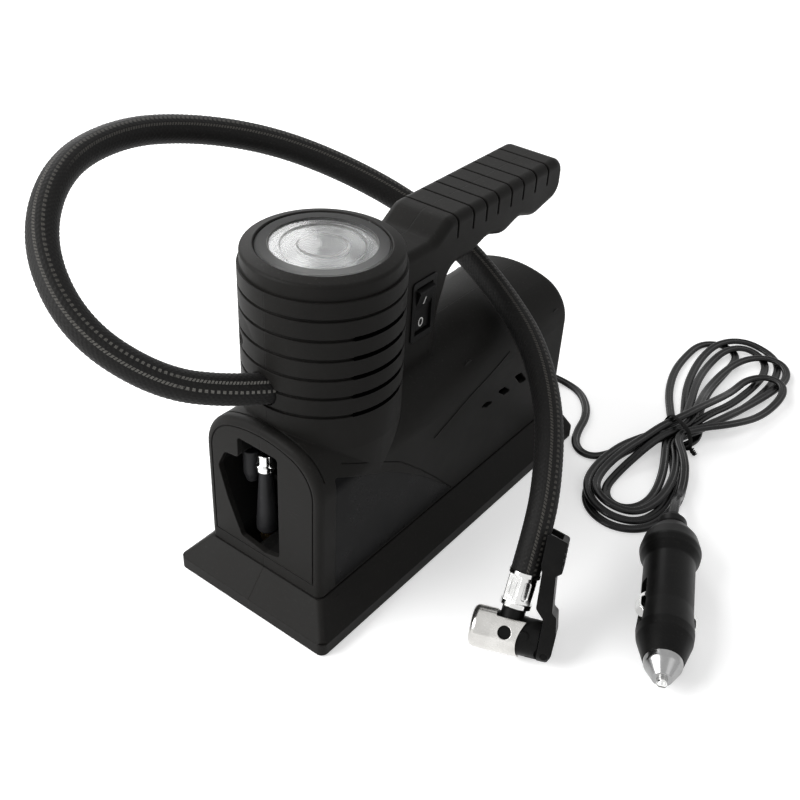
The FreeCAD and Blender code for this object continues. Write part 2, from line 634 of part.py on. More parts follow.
clips = clips.cut(disc(1.2, V(nozzleX, nozzleY, 30), 50)).cut(disc(0.95, V(needleX, needleY, 30), 25))
save("accessory_tray", join(tray, clips))
save("nozzle_body", nozzle)
save("nozzle_head", head)
save("nozzle_tip", brassTip)
save("ball_needle", needle)
save("valve_adapter", adapter)

# Motor
yAxis = V(0, 1, 0)
shaftRadius = 1.6
can = disc(motorRadius, V(0, motorFront, motorAxisZ), motorRear - motorFront, yAxis)
can = can.cut(disc(motorRadius - 1.2, V(0, motorFront + 1.2, motorAxisZ), motorRear - motorFront, yAxis))
can = can.cut(disc(3.2, V(0, motorFront - 1, motorAxisZ), 5, yAxis))
for x in (-9.0, 9.0):
    can = can.cut(disc(1.4, V(x, motorFront - 1, motorAxisZ), 5, yAxis))
endCap = disc(motorRadius, V(0, motorRear, motorAxisZ), 4.0, yAxis)
endCap = join(endCap, disc(motorRadius - 1.2, V(0, motorRear - 2.5, motorAxisZ), 2.5, yAxis),
              disc(5.0, V(0, motorRear + 4.0, motorAxisZ), 2.5, yAxis))
endCap = endCap.cut(disc(shaftRadius + runningFit, V(0, motorRear - 4, motorAxisZ), 9.0, yAxis))
for x in (-10.0, 10.0):
    endCap = join(endCap, block(x - 0.4, x + 0.4, motorRear + 4, motorRear + 10, motorAxisZ - 2.4, motorAxisZ + 2.4))
frontBearing = ring(3.2, shaftRadius + runningFit, V(0, motorFront - 3.0, motorAxisZ), 4.2, yAxis)
core = disc(13.6, V(0, 26, motorAxisZ), 26, yAxis)
for k in range(5):
    angle = 2 * math.pi * k / 5
    spot = V(10.6 * math.cos(angle), 25, motorAxisZ + 10.6 * math.sin(angle))
    core = core.cut(disc(2.6, spot, 28, yAxis))
armature = join(disc(shaftRadius, V(0, 3.0, motorAxisZ), 67.0, yAxis), core,
                disc(5.0, V(0, 54.0, motorAxisZ), 8.0, yAxis))
magnets = ring(motorRadius - 1.2, 14.2, V(0, 24, motorAxisZ), 30, yAxis)
magnets = magnets.cut(block(-3.5, 3.5, 20, 60, 0, 60))
pinion = gear(pinionTeeth, 3.6, 10.0, motorAxisZ, math.pi / 2 + math.pi / pinionTeeth)
pinion = pinion.cut(disc(shaftRadius, V(0, 2, motorAxisZ), 10, yAxis))
save("motor_can", join(can, frontBearing))
save("motor_end_cap", endCap)
save("motor_magnets", magnets)
save("armature", armature)
save("pinion", pinion)

# Crank train
crankShaftRadius = 3.0
crankGear = gear(gearTeeth, 4.0, 9.0, gearAxisZ, -math.pi / 2)
for angle in (150, 210, 270, 330, 30):
    spot = V(9.4 * math.cos(math.radians(angle)), 3, gearAxisZ + 9.4 * math.sin(math.radians(angle)))
    crankGear = crankGear.cut(disc(2.3, spot, 8, yAxis))
crankGear = join(crankGear, disc(4.4, V(0, 9.0, gearAxisZ), 1.9, yAxis),
                 disc(crankShaftRadius, V(0, 10.0, gearAxisZ), 5.8, yAxis))
crankGear = crankGear.cut(disc(2.5, V(0, 3, pinZ), 5.0, yAxis))
crankPin = join(disc(2.5, V(0, -3.4, pinZ), 11.4, yAxis), disc(3.3, V(0, -4.4, pinZ), 1.0, yAxis))
bearing = ring(5.0, crankShaftRadius + runningFit, V(0, 11, gearAxisZ), 5, yAxis)
rodThick = 6.0
bigEye = disc(5.4, V(0, -rodThick / 2, pinZ), rodThick, yAxis)
smallEye = disc(3.5, V(0, -rodThick / 2, smallEndZ), rodThick, yAxis)
shank = block(-2.6, 2.6, -rodThick / 2, rodThick / 2, pinZ + 2, smallEndZ - 1)
shank = shank.cut(join(block(-1.5, 1.5, -4, -1.2, pinZ + 7, smallEndZ - 5), block(-1.5, 1.5, 1.2, 4, pinZ + 7, smallEndZ - 5)))
rod = join(bigEye, smallEye, shank)
rod = rod.cut(disc(2.5 + runningFit, V(0, -5, pinZ), 10, yAxis)).cut(disc(2.0, V(0, -5, smallEndZ), 10, yAxis))
gudgeon = disc(2.0, V(0, -6.2, smallEndZ), 12.4, yAxis)
save("crank_gear", crankGear)
save("crank_pin", crankPin)
save("shaft_bearing", bearing)
save("connecting_rod", rod)
save("rod_pin", gudgeon)

# Piston, cylinder and head
skirtBottom = 68.5
crownTop = 91.3
pistonBody = turned([(9.6, skirtBottom, 0), (pistonRadius, skirtBottom, 0), (pistonRadius, 88.9, 0), (9.7, 88.9, 0),
                     (9.7, 90.5, 0), (pistonRadius, 90.5, 0), (pistonRadius, crownTop, 0), (0, crownTop, 0),
                     (0, 88.3, 0), (9.6, 88.3, 0)])
pistonSeal = ring(boreRadius - 0.02, 9.7, V(0, 0, 88.9), 1.6)
flangeTop = 62.0
cylinderTop = 91.6
cylinder = ring(12.8, boreRadius, V(0, 0, flangeTop), cylinderTop - flangeTop)
for k in range(8):
    cylinder = join(cylinder, ring(14.8, 12.6, V(0, 0, 66.0 + 3.2 * k), 1.2))
valvePlate = disc(20.0, V(0, 0, cylinderTop), 2.0)
valvePlate = valvePlate.cut(disc(1.5, V(4, 0, 90), 6)).cut(disc(1.5, V(-4, 0, 90), 6))
headTop = 107.0
pumpHead = disc(20.0, V(0, 0, cylinderTop + 2), headTop - cylinderTop - 2)
for z in (101.2, 104.2):
    pumpHead = pumpHead.cut(ring(21, 16.2, V(0, 0, z), 1.5))
hoseBoss = disc(5.0, hoseInside - hoseExitAim * 8, 8.0, hoseExitAim)
pumpHead = join(pumpHead, hoseBoss.cut(disc(40.0, V(0, 0, 70), cylinderTop + 2 - 70)))
pumpHead = pumpHead.cut(disc(1.8, hoseInside - hoseExitAim * 24, 25, hoseExitAim)).cut(disc(3.2, V(-4, 0, 93), 5)).cut(disc(3.2, V(4, 0, 93), 5))
tiePlaces = [(12.2, 12.2), (-12.2, 12.2), (-12.2, -12.2), (12.2, -12.2)]
pumpFrame = join(block(-18, 18, 11, 16, 6, flangeTop - 4), block(-16, 16, -16, 16, flangeTop - 4, flangeTop))
pumpFrame = pumpFrame.cut(disc(5.0, V(0, 5, gearAxisZ), 16, yAxis)).cut(disc(3.2, V(0, 5, motorAxisZ), 16, yAxis))
pumpFrame = pumpFrame.cut(disc(boreRadius + 0.1, V(0, 0, 50), 20))
ties = []
for x, y in tiePlaces:
    pumpHead = pumpHead.cut(disc(1.6, V(x, y, 90), 20))
    valvePlate = valvePlate.cut(disc(1.6, V(x, y, 90), 6))
    pumpFrame = pumpFrame.cut(disc(1.5, V(x, y, flangeTop - 3), 5))
    tie = join(disc(1.5, V(x, y, flangeTop - 3), headTop - flangeTop + 3), disc(2.75, V(x, y, headTop), 2.4))
    ties.append(tie.cut(alongZ([(x + 1.4 * math.cos(math.pi * k / 3), y + 1.4 * math.sin(math.pi * k / 3), 0)
                                for k in range(6)], headTop + 1.0, headTop + 3)))
motorScrews = []
for x in (-9.0, 9.0):
    pumpFrame = pumpFrame.cut(disc(1.5, V(x, 5, motorAxisZ), 16, yAxis))
    motorScrews.append(join(disc(1.4, V(x, 11, motorAxisZ), 6.2, yAxis), disc(2.2, V(x, 9.6, motorAxisZ), 1.4, yAxis)))
save("piston", pistonBody)
save("piston_seal", pistonSeal)
save("cylinder", cylinder)
save("valve_plate", valvePlate)
save("cylinder_head", pumpHead)
save("tie_screws", Part.makeCompound(ties))
save("motor_screws", Part.makeCompound(motorScrews))
save("pump_frame", pumpFrame)

# Chuck, in its own axes: X from the mouth to the lever, Z up the stem
chuckCentre = V(84.8, 5.6, 8.2)
chuckAlong = V(0.927, 0.375, 0).normalize()
chuckRoll = math.radians(32.0)
level = V(0, 0, 1).cross(chuckAlong)
chuckUp = V(0, 0, 1) * math.cos(chuckRoll) + level * math.sin(chuckRoll)
chuckAcross = chuckUp.cross(chuckAlong)
chuckPlace = FreeCAD.Placement(chuckCentre, FreeCAD.Rotation(chuckAlong, chuckAcross, chuckUp, "ZXY"))
xAxis = V(1, 0, 0)
sleeveRadius = 8.2
sleeveWall = 0.8
mouthX = -10.4
sleeve = turned([(4.4, 0, 0), (sleeveRadius, 0, 2.4), (sleeveRadius, 21.6, 0), (sleeveRadius - sleeveWall, 21.6, 0),
                 (sleeveRadius - sleeveWall, 1.0, 1.4), (4.4, 1.0, 0)], V(mouthX, 0, 0), xAxis)
sleeve = sleeve.cut(alongZ([(-1.2, -4.8, 0.5), (20, -4.8, 0), (20, 4.8, 0), (-1.2, 4.8, 0.5)], 0, 12))
sleeve = sleeve.cut(disc(14.0, V(21.8, -12, -1.5), 24, yAxis))
sleeve = sleeve.cut(disc(2.6, V(3.0, -12, 1.6), 8, yAxis))
stemTilt = V(0.094, 0, 0.996).normalize()
stemFoot = V(3.6, 0, 0)
ferruleFoot = 11.0
ferruleLength = 13.9
ferruleRadius = 6.1
innerRadius = sleeveRadius - sleeveWall
boreDepth = 7.7
chuckBore = 4.05
sealRadius = 3.7
plungerRadius = 1.2
tailEnd = 16.0
pivot = (18.9, -4.2)
pinRadius = 1.4
heelRadius = 3.75


def onChuck(points, y0, y1):
    face = Part.Face(outline(points, lambda a, b: V(a, y0, b)))
    return face.extrude(V(0, y1 - y0, 0))


bodyLength = tailEnd - mouthX - 1.0
chuckBody = turned([(0, 0, 0), (innerRadius, 0, 1.5), (innerRadius, bodyLength, 0), (0, bodyLength, 0)],
                   V(mouthX + 1.0, 0, 0), xAxis)
chuckBody = chuckBody.cut(disc(heelRadius, V(pivot[0], -12, pivot[1]), 24, yAxis))
lug = join(block(12.0, pivot[0], -3.3, 3.3, pivot[1] - 2.6, pivot[1] + 2.6), disc(2.6, V(pivot[0], -3.3, pivot[1]), 6.6, yAxis))
sideBoss = disc(1.7, V(10.3, -7.7, 2.0), 3.0, yAxis)
chuckBody = join(chuckBody, lug, sideBoss, Part.makeCylinder(4.6, ferruleFoot, stemFoot, stemTilt))
chuckBody = chuckBody.cut(disc(pinRadius + runningFit, V(pivot[0], -12, pivot[1]), 24, yAxis))
chuckBody = chuckBody.cut(disc(chuckBore, V(mouthX, 0, 0), 1.0 + boreDepth, xAxis))
chuckBody = chuckBody.cut(disc(sealRadius, V(mouthX, 0, 0), 1.0 + boreDepth + 1.5, xAxis))
chuckBody = chuckBody.cut(disc(plungerRadius + runningFit, V(mouthX, 0, 0), 40, xAxis))
chuckBody = chuckBody.cut(Part.makeCylinder(1.1, 26, stemFoot, stemTilt))
chuckSeal = ring(sealRadius, plungerRadius + 0.3, V(mouthX + 1.0 + boreDepth, 0, 0), 1.5, xAxis)
plungerStart = -1.6
plunger = disc(plungerRadius, V(plungerStart, 0, 0), tailEnd - 0.1 - plungerStart, xAxis)

# Crimped hexagon ferrule over the hose stem
ferruleStart = stemFoot + stemTilt * ferruleFoot
ferruleTop = stemFoot + stemTilt * (ferruleFoot + ferruleLength)
hoseStem = Part.makeCylinder(2.6, 12.0, ferruleStart, stemTilt).cut(Part.makeCylinder(1.1, 26, stemFoot, stemTilt))
ferrule = Part.makeCylinder(ferruleRadius, ferruleLength, ferruleStart, stemTilt)
sideways = V(0, 1, 0)
forwards = sideways.cross(stemTilt)
flatRadius = 5.35 / math.cos(math.pi / 6)
hexagon = [(flatRadius * math.cos(math.pi * (k + 0.5) / 3), flatRadius * math.sin(math.pi * (k + 0.5) / 3), 0.6)
           for k in range(6)]
hexWire = outline(hexagon, lambda a, b: ferruleStart + stemTilt * 1.8 + forwards * a + sideways * b)
hexPrism = Part.Face(hexWire).extrude(stemTilt * (ferruleLength - 3.4))
collarBand = Part.makeCylinder(ferruleRadius + 2, ferruleLength - 3.4, ferruleStart + stemTilt * 1.8, stemTilt)
ferrule = ferrule.cut(collarBand.cut(hexPrism))
ferrule = ferrule.cut(Part.makeCylinder(2.6, 12.0, ferruleStart, stemTilt))
pressedDepth = 0.45
pressed = [(3.4, -1.3, 1.1), (ferruleLength - 3.2, -1.3, 1.1), (ferruleLength - 3.2, 1.3, 1.1), (3.4, 1.3, 1.1)]
for k in range(6):
    normal = forwards * math.cos(math.pi * k / 3) + sideways * math.sin(math.pi * k / 3)
    tangent = sideways * math.cos(math.pi * k / 3) - forwards * math.sin(math.pi * k / 3)
    floor = ferruleStart + normal * (5.35 - pressedDepth)
    flat = outline(pressed, lambda a, b: floor + stemTilt * a + tangent * b)
    ferrule = ferrule.cut(Part.Face(flat).extrude(normal * 2))

# Lever: heel with a slot for the lug, two cheeks, an arm beside the ferrule and a thumb pad
leverHalf = 7.8
leverSide = [(16.3, -6.6, 0.8), (18.0, -7.7, 1.5), (20.4, -6.6, 1.5), (21.7, -3.0, 2), (22.0, 4.5, 3), (20.9, 11.4, 1.5),
             (19.0, 12.8, 1.5), (17.7, 26.6, 1), (19.8, 28.2, 1), (19.9, 39.8, 1.4), (11.9, 42.2, 1.2),
             (11.6, 29.6, 1), (12.4, 27.0, 1), (12.8, 13.2, 2), (16.3, 9.6, 2)]
leverCore = [(15.0, 1.4, 0), (19.8, 1.4, 0), (19.4, 9.6, 0), (17.2, 12.2, 0), (15.7, 27.0, 0), (10.0, 27.0, 0),
             (10.0, 9.0, 0)]
padCore = [(10.0, 27.0, 0), (15.7, 27.0, 0), (17.6, 29.6, 0), (17.6, 45.0, 0), (10.0, 45.0, 0)]
lever = onChuck(leverSide, -leverHalf, leverHalf)
across = [(-leverHalf, -7.6, 7.0), (leverHalf, -7.6, 7.0), (leverHalf, 60, 0), (-leverHalf, 60, 0)]
lever = lever.common(alongX(across, 10, 30))
lever = lever.cut(onChuck(leverCore, -6.2, 6.2)).cut(onChuck(padCore, -6.2, 6.2))
lever = lever.cut(block(10, 25, -3.55, 3.55, -9, 1.4))
for k in range(4):
    lever = lever.cut(block(19.3, 22, -9, 9, 30.4 + 2.4 * k, 31.4 + 2.4 * k))
lever = lever.cut(disc(pinRadius, V(pivot[0], -12, pivot[1]), 24, yAxis))
leverPin = disc(pinRadius, V(pivot[0], -6.4, pivot[1]), 12.8, yAxis)
save("chuck_sleeve", placed(sleeve, chuckPlace))
save("chuck_body", placed(chuckBody, chuckPlace))
save("chuck_seal", placed(chuckSeal, chuckPlace))
save("chuck_plunger", placed(plunger, chuckPlace))
save("chuck_lever", placed(lever, chuckPlace))
save("lever_pin", placed(leverPin, chuckPlace))
save("hose_stem", placed(hoseStem, chuckPlace))
save("hose_ferrule", placed(ferrule, chuckPlace))

# Air hose
ferruleEnd = chuckPlace.multVec(ferruleTop)
ferruleAim = chuckPlace.Rotation.multVec(stemTilt)
hosePoints = [
    tuple(hoseInside), tuple(hoseInside + hoseExitAim * 18.6), (-20.2, -61.0, 109.6), (-46.2, -72.4, 125.4),
    (-73.7, -63.3, 144.1), (-93.1, -37.1, 157.3), (-100.3, -2.8, 158.2), (-96.0, 29.0, 152.2), (-81.9, 57.9, 143.1),
    (-62.5, 79.7, 131.1), (-37.1, 96.7, 116.4), (-9.9, 103.5, 101.3), (16.9, 96.8, 90.3), (43.4, 82.4, 82.1),
    (65.2, 61.5, 69.7), (78.7, 40.3, 54.9),
]
hosePoints.append(tuple(ferruleEnd + ferruleAim * 15.0))
hosePoints.append(tuple(ferruleEnd))
hoseEdges, hoseTightest = cordEdges(hosePoints)
print("hose smallest centre line radius %.1f" % hoseTightest)
save("air_hose", tube(hoseEdges, hoseDiameter / 2))

# Power cord: strain relief, free stretch, tied hank and the tail to the plug
reliefEnd = baseRear + 12.0
relief = turned([(cordDiameter / 2 - 0.9, bodyRear - wall - 2.2, 0), (5.7, bodyRear - wall - 2.2, 0), (5.7, bodyRear - wall, 0),
                 (gripThroat, bodyRear - wall, 0), (gripThroat, baseRear + 1.0, 0.8), (3.1, reliefEnd, 0.6),
                 (cordDiameter / 2 - 0.9, reliefEnd, 0)], V(0, 0, cordExitZ), yAxis)
for k in range(3):
    y = baseRear + 2.6 + 2.6 * k
    relief = relief.cut(ring(7, 2.9, V(0, y, cordExitZ), 1.0, yAxis).cut(block(-1.0, 1.0, 130, 170, 0, 20)))
relief = join(relief, disc(1.3, V(0, bodyRear - wall - 2.2, cordExitZ), reliefEnd - bodyRear + wall + 2.2, yAxis))
save("cord_grip", relief)

hankX = 80.0
waistY = 182.0
nearY = 125.0
farY = 257.0
outerReach = 24.0
reachStep = 2.45
waistDraw = 9.5
layerLow = 3.0
layerHigh = 7.8
legEnds = 10.0
legs = 10


def reachOf(leg):
    """Distance of a run from the hank's middle: inwards on the lower layer, outwards on the upper."""
    return outerReach - reachStep * (leg if leg <= 5 else 10 - leg)


def legPoints(leg):
    side = -1 if leg % 2 == 0 else 1
    x = hankX + side * reachOf(leg)
    waistX = hankX + side * (reachOf(leg) - waistDraw)
    startZ = layerLow if leg <= 5 else layerHigh
    endZ = layerLow if leg < 5 else layerHigh
    points = [(x, nearY, startZ), (x, nearY + legEnds, startZ), (waistX, waistY, (startZ + endZ) / 2),
              (x, farY - legEnds, endZ), (x, farY, endZ)]
    if side > 0:
        points = [(x, nearY, endZ), (x, nearY + legEnds, endZ), (waistX, waistY, (startZ + endZ) / 2),
                  (x, farY - legEnds, startZ), (x, farY, startZ)]
        points = points[::-1]
    return points


def halfTurn(start, end, outwards):
    centre = (start + end) * 0.5
    radius = start.distanceToPoint(end) / 2
    top = centre + V(0, outwards * radius, 0)
    lead = (start - centre).normalize()
    first = centre + (lead + V(0, outwards, 0)).normalize() * radius
    second = centre + (V(0, outwards, 0) - lead).normalize() * radius
    return [Part.Arc(start, first, top).toShape(), Part.Arc(top, second, end).toShape()]


shareAtWaist = 22.0
hankEdges = []
lastPoint = None
for leg in range(legs):
    points = legPoints(leg)
    slopeX = waistDraw / (waistY - nearY - legEnds)
    if leg == 0:
        waist = points[2]
        points = [(waist[0] - shareAtWaist * slopeX, waistY - shareAtWaist, layerLow)] + points[2:]
        hankStart = V(*points[0])
        hankStartAim = (V(*points[1]) - hankStart).normalize()
    if leg == legs - 1:
        waist = points[2]
        points = points[:3] + [(waist[0] + shareAtWaist * slopeX, waistY - shareAtWaist, layerHigh)]
        hankEnd = V(*points[-1])
        hankEndAim = (hankEnd - V(*points[-2])).normalize()
    if lastPoint is not None:
        outwards = 1 if leg % 2 == 1 else -1
        hankEdges += halfTurn(lastPoint, V(*points[0]), outwards)
    legEdges, legTightest = cordEdges(points, 0.45 * shareAtWaist)
    hankEdges += legEdges
    lastPoint = V(*points[-1])
hank = tube(hankEdges, cordDiameter / 2)
print("hank self gap %.2f" % selfGap(hankEdges, cordDiameter))
save("cord_hank", hank)

onFloor = cordDiameter / 2
cordPoints = [
    (0.0, reliefEnd, cordExitZ), (0.0, reliefEnd + 12.0, cordExitZ), (4.0, 178.0, 5.0), (16.0, 186.0, onFloor),
    (29.0, 181.0, onFloor), (35.0, 166.0, onFloor), (38.0, 151.0, onFloor), (43.0, 139.8, onFloor),
    (47.2, 136.3, onFloor), (52.4, 136.0, onFloor), (56.3, 139.5, onFloor),
]
cordPoints.append(tuple(hankStart - hankStartAim * 11.7))
cordPoints.append(tuple(hankStart))
powerEdges, powerTightest = cordEdges(cordPoints)
print("power cord smallest centre line radius %.1f" % powerTightest)
save("power_cord", tube(powerEdges, cordDiameter / 2))

# Plug, turned about its own axis from the cord end (0) to the contact tip
plugRear = V(109.0, 104.0, 0)
plugAim = V(38.0, -85.0, 0).normalize()
collarRadius = 12.7
flareRadius = 11.2
collarAt = 22.5
flareAt = 67.0
plugSlope = (collarRadius - flareRadius) / (flareAt - collarAt)
plugAxis = (plugAim - V(0, 0, plugSlope)).normalize()
plugOrigin = V(plugRear.x, plugRear.y, collarRadius + collarAt * plugSlope)
barrelRadius = 10.4
plugOuter = [(2.0, 0, 0), (3.4, 0, 0), (4.2, 3.6, 0), (6.2, 4.0, 0.5), (6.2, 7.4, 0.5), (5.6, 8.4, 0.5), (8.0, 10.5, 3),
             (11.2, 16.0, 4), (collarRadius, collarAt, 4), (collarRadius - 0.6, 26.0, 3), (barrelRadius, 30.0, 3),
             (barrelRadius, 56.0, 12), (flareRadius, flareAt, 3), (flareRadius - 0.4, 71.0, 3), (7.7, 81.0, 0),
             (5.0, 81.0, 0), (5.0, 40.0, 0), (2.0, 40.0, 0)]
plugBody = turned(plugOuter, plugOrigin, plugAxis)
plugUp = V(0, 0, 1) - plugAxis * plugAxis.z
plugUp.normalize()
plugSide = plugUp.cross(plugAxis).normalize()


def atPlug(along, side=0.0, up=0.0):
    return plugOrigin + plugAxis * along + plugSide * side + plugUp * up


def plugBlock(s0, s1, w0, w1, h0, h1):
    """Block in the plug's axes: along, side and up."""
    turn = FreeCAD.Placement(plugOrigin, FreeCAD.Rotation(plugAxis, plugSide, plugUp, "ZXY"))
    return placed(block(s0, s1, w0, w1, h0, h1), turn)


tipRadius = 2.0
noseEnd = 89.4
nose = turned([(tipRadius + runningFit, 81.0, 0), (7.5, 81.0, 0), (7.2, 83.4, 3), (3.7, noseEnd, 0.6),
               (tipRadius + runningFit, noseEnd, 0)], plugOrigin, plugAxis)
tip = turned([(0, 78.0, 0), (4.4, 78.0, 0), (4.4, 80.6, 0), (tipRadius, 80.6, 0), (tipRadius, noseEnd + 2.4, 0.8),
              (1.3, noseEnd + 3.2, 0.4), (0, noseEnd + 3.2, 0)], plugOrigin, plugAxis)
tip = tip.cut(plugBlock(noseEnd + 1.8, noseEnd + 4, -3, 3, -0.3, 0.3))
fuse = turned([(0, 48.0, 0), (3.2, 48.0, 0), (3.2, 78.0, 0), (0, 78.0, 0)], plugOrigin, plugAxis)
spring = turned([(1.6, 40.0, 0), (2.6, 40.0, 0), (4.2, 46.3, 0), (3.2, 46.3, 0)], plugOrigin, plugAxis)
contactTurn = math.radians(18.0)
contactUp = plugUp * math.cos(contactTurn) + plugSide * math.sin(contactTurn)
contactSide = plugSide * math.cos(contactTurn) - plugUp * math.sin(contactTurn)
contactAt = 45.0
contacts = []
cavityWall = turned([(0, 30, 0), (6.2, 30, 0), (6.2, 90, 0), (0, 90, 0)], plugOrigin, plugAxis)


def atContact(along, side, up):
    return plugOrigin + plugAxis * along + contactSide * side + contactUp * up


for sign in (-1, 1):
    window = [(contactAt - 1.0, 5.6, 0), (contactAt + 22.4, 5.6, 0), (contactAt + 22.4, 13, 0), (contactAt - 1.0, 13, 0)]
    slot = Part.Face(outline(window, lambda a, b: atContact(a, sign * b, -2.2))).extrude(contactUp * 4.4)
    plugBody = plugBody.cut(slot.cut(cavityWall))
    side = [(0, 6.4, 0), (21.8, 6.4, 0), (21.8, 7.3, 0.5), (19.5, 7.3, 2), (15.0, 12.6, 2.5), (9.5, 12.6, 3),
            (3.0, 7.3, 3), (0, 7.3, 0)]
    innerLoop = [(6.5, 7.2, 0.4), (17.6, 7.2, 0.4), (14.4, 11.7, 1.5), (10.0, 11.7, 1.5)]
    to3 = lambda a, b: atContact(contactAt + a, sign * b, -1.9)
    leaf = Part.Face(outline(side, to3)).extrude(contactUp * 3.8)
    hollow = Part.Face(outline(innerLoop, to3)).extrude(contactUp * 3.8)
    contacts.append(leaf.cut(hollow))
plugBody = plugBody.cut(Part.makeCylinder(cordDiameter / 2 - 0.6, 6, atPlug(-1), plugAxis))
plugBody = join(plugBody, Part.makeCylinder(2.05, 38, atPlug(0.0), plugAxis))
save("plug_body", plugBody)
save("plug_nose_ring", nose)
save("plug_tip", tip)
save("plug_fuse", fuse)
save("plug_spring", spring)
save("plug_side_contacts", Part.makeCompound(contacts))

plugEntry = atPlug(0.0)
tailPoints = [tuple(hankEnd), tuple(hankEnd + hankEndAim * 16.0), (103.0, 128.5, 9.0),
              tuple(plugEntry - plugAxis * 13.0), tuple(plugEntry)]
tailEdges, tailTightest = cordEdges(tailPoints)
print("tail smallest centre line radius %.1f" % tailTightest)
save("cord_tail", tube(tailEdges, cordDiameter / 2))

# Tie round the waist of the hank
tieWidth = 4.0
tieGap = 0.15
waistSlope = math.atan2(waistDraw, waistY - nearY - legEnds)
waistBulge = 0.45 * shareAtWaist * math.tan(waistSlope / 2)
tieLeft = hankX - (outerReach - waistDraw + waistBulge) - cordDiameter / 2 - tieGap
tieRight = hankX + (reachOf(1) - waistDraw + waistBulge) + cordDiameter / 2 + tieGap
tieLow = layerLow - cordDiameter / 2
tieHigh = layerHigh + cordDiameter / 2 + tieGap
tieOutline = [(tieLeft, tieLow, 1.6), (tieRight, tieLow, 1.6), (tieRight, tieHigh, 1.6), (tieLeft, tieHigh, 1.6)]
tie = alongY(insetOutline(tieOutline, -0.7), waistY - tieWidth / 2, waistY + tieWidth / 2)
tie = tie.cut(alongY(tieOutline, waistY - tieWidth, waistY + tieWidth))
save("cord_tie", tie)

cordTotal = sum(Part.Wire(e).Length for e in (powerEdges, hankEdges, tailEdges))
print("power cord in all %.0f mm, hose %.0f mm" % (cordTotal, Part.Wire(hoseEdges).Length))

os.makedirs("parts", exist_ok=True)
for name, shape in pieces.items():
    shape.exportStep("parts/%s.step" % name)
    solids = shape.Solids
    print("%-18s solids %d valid %s volume %.0f" % (name, len(solids), shape.isValid(), shape.Volume))
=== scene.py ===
import bpy
import math
import numpy as np
from mathutils import Matrix


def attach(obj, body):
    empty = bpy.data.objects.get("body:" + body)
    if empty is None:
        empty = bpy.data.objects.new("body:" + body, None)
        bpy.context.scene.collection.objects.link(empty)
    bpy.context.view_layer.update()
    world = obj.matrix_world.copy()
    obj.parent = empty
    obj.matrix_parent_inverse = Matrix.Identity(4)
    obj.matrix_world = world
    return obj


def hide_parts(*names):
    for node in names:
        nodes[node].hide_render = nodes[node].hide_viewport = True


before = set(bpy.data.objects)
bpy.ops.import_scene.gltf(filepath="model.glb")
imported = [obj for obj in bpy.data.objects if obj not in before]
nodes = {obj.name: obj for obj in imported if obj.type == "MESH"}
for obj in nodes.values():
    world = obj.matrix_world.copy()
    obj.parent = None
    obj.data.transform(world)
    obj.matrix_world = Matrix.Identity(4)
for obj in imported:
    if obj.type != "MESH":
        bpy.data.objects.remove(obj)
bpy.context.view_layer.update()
print("frame loaded:", len(nodes), "nodes")

mm = 0.001
towerY = -49.3  # the lamp tower's axis, in mm along Y from the middle of the base
lampAxis = (0.0, towerY * mm, 0.0)


# Route points in mm about the lamp tower's axis, turned into metres about the base's middle.
def lateralPoints(points):
    table = np.array(points, float)
    table[:, 1] += towerY
    return table * mm


def addObject(name, data):
    added = bpy.data.objects.new(name, data)
    bpy.context.scene.collection.objects.link(added)
    return added


# Matrix of an object at a place, from its own three axes
def placedAxes(place, right, up, back):
    return Matrix.Translation(place) @ Matrix((tuple(right), tuple(up), tuple(back))).transposed().to_4x4()


# The camera, as focal length and turned axes
cameraSettings = {
    "place": (0.21983, -0.30314, 0.32091),
    "right": (0.789479, 0.611995, 0.046806),
    "up": (-0.387099, 0.437278, 0.811756),
    "back": (0.47632, -0.65898, 0.58212),
    "lens": 48.99,
    "sensor": 36.0,
    "nearest": 0.01,
}


def buildCamera(settings):
    data = bpy.data.cameras.new("photoCamera")
    data.lens = settings["lens"]
    data.sensor_width = settings["sensor"]
    data.clip_start = settings["nearest"]
    camera = addObject("photoCamera", data)
    camera.matrix_world = placedAxes(settings["place"], settings["right"], settings["up"], settings["back"])
    bpy.context.scene.camera = camera


buildCamera(cameraSettings)
bpy.context.scene.view_settings.view_transform = "Standard"
print("camera placed")


# Small helpers for node trees
def put(tree, kind, links=None, **settings):
    node = tree.nodes.new(kind)
    for key, value in settings.items():
        setattr(node, key, value)
    for key, value in (links or {}).items():
        if isinstance(value, bpy.types.NodeSocket):
            tree.links.new(value, node.inputs[key])
        else:
            node.inputs[key].default_value = value
    return node


def blankMaterial(name):
    material = bpy.data.materials.new(name)
    material.use_nodes = True
    material.node_tree.nodes.clear()
    return material, material.node_tree


def newGroup(name, inputs, outputs):
    group = bpy.data.node_groups.new(name, "ShaderNodeTree")
    for label, kind, value in inputs:
        socket = group.interface.new_socket(label, in_out="INPUT", socket_type=kind)
        if value is not None:
            socket.default_value = value
    for label, kind in outputs:
        group.interface.new_socket(label, in_out="OUTPUT", socket_type=kind)
    return group, group.nodes.new("NodeGroupInput"), group.nodes.new("NodeGroupOutput")


def mathNode(tree, operation, first, second=0.0, clamp=False):
    return put(tree, "ShaderNodeMath", {0: first, 1: second}, operation=operation, use_clamp=clamp).outputs[0]


def productNode(tree, first, second):
    return mathNode(tree, "MULTIPLY", first, second)


def largerNode(tree, first, second):
    return mathNode(tree, "MAXIMUM", first, second)


# 1 where the value lies within a half width of the middle, otherwise 0
def withinNode(tree, value, middle, halfWidth):
    return put(tree, "ShaderNodeMath", {0: value, 1: middle, 2: halfWidth}, operation="COMPARE").outputs[0]


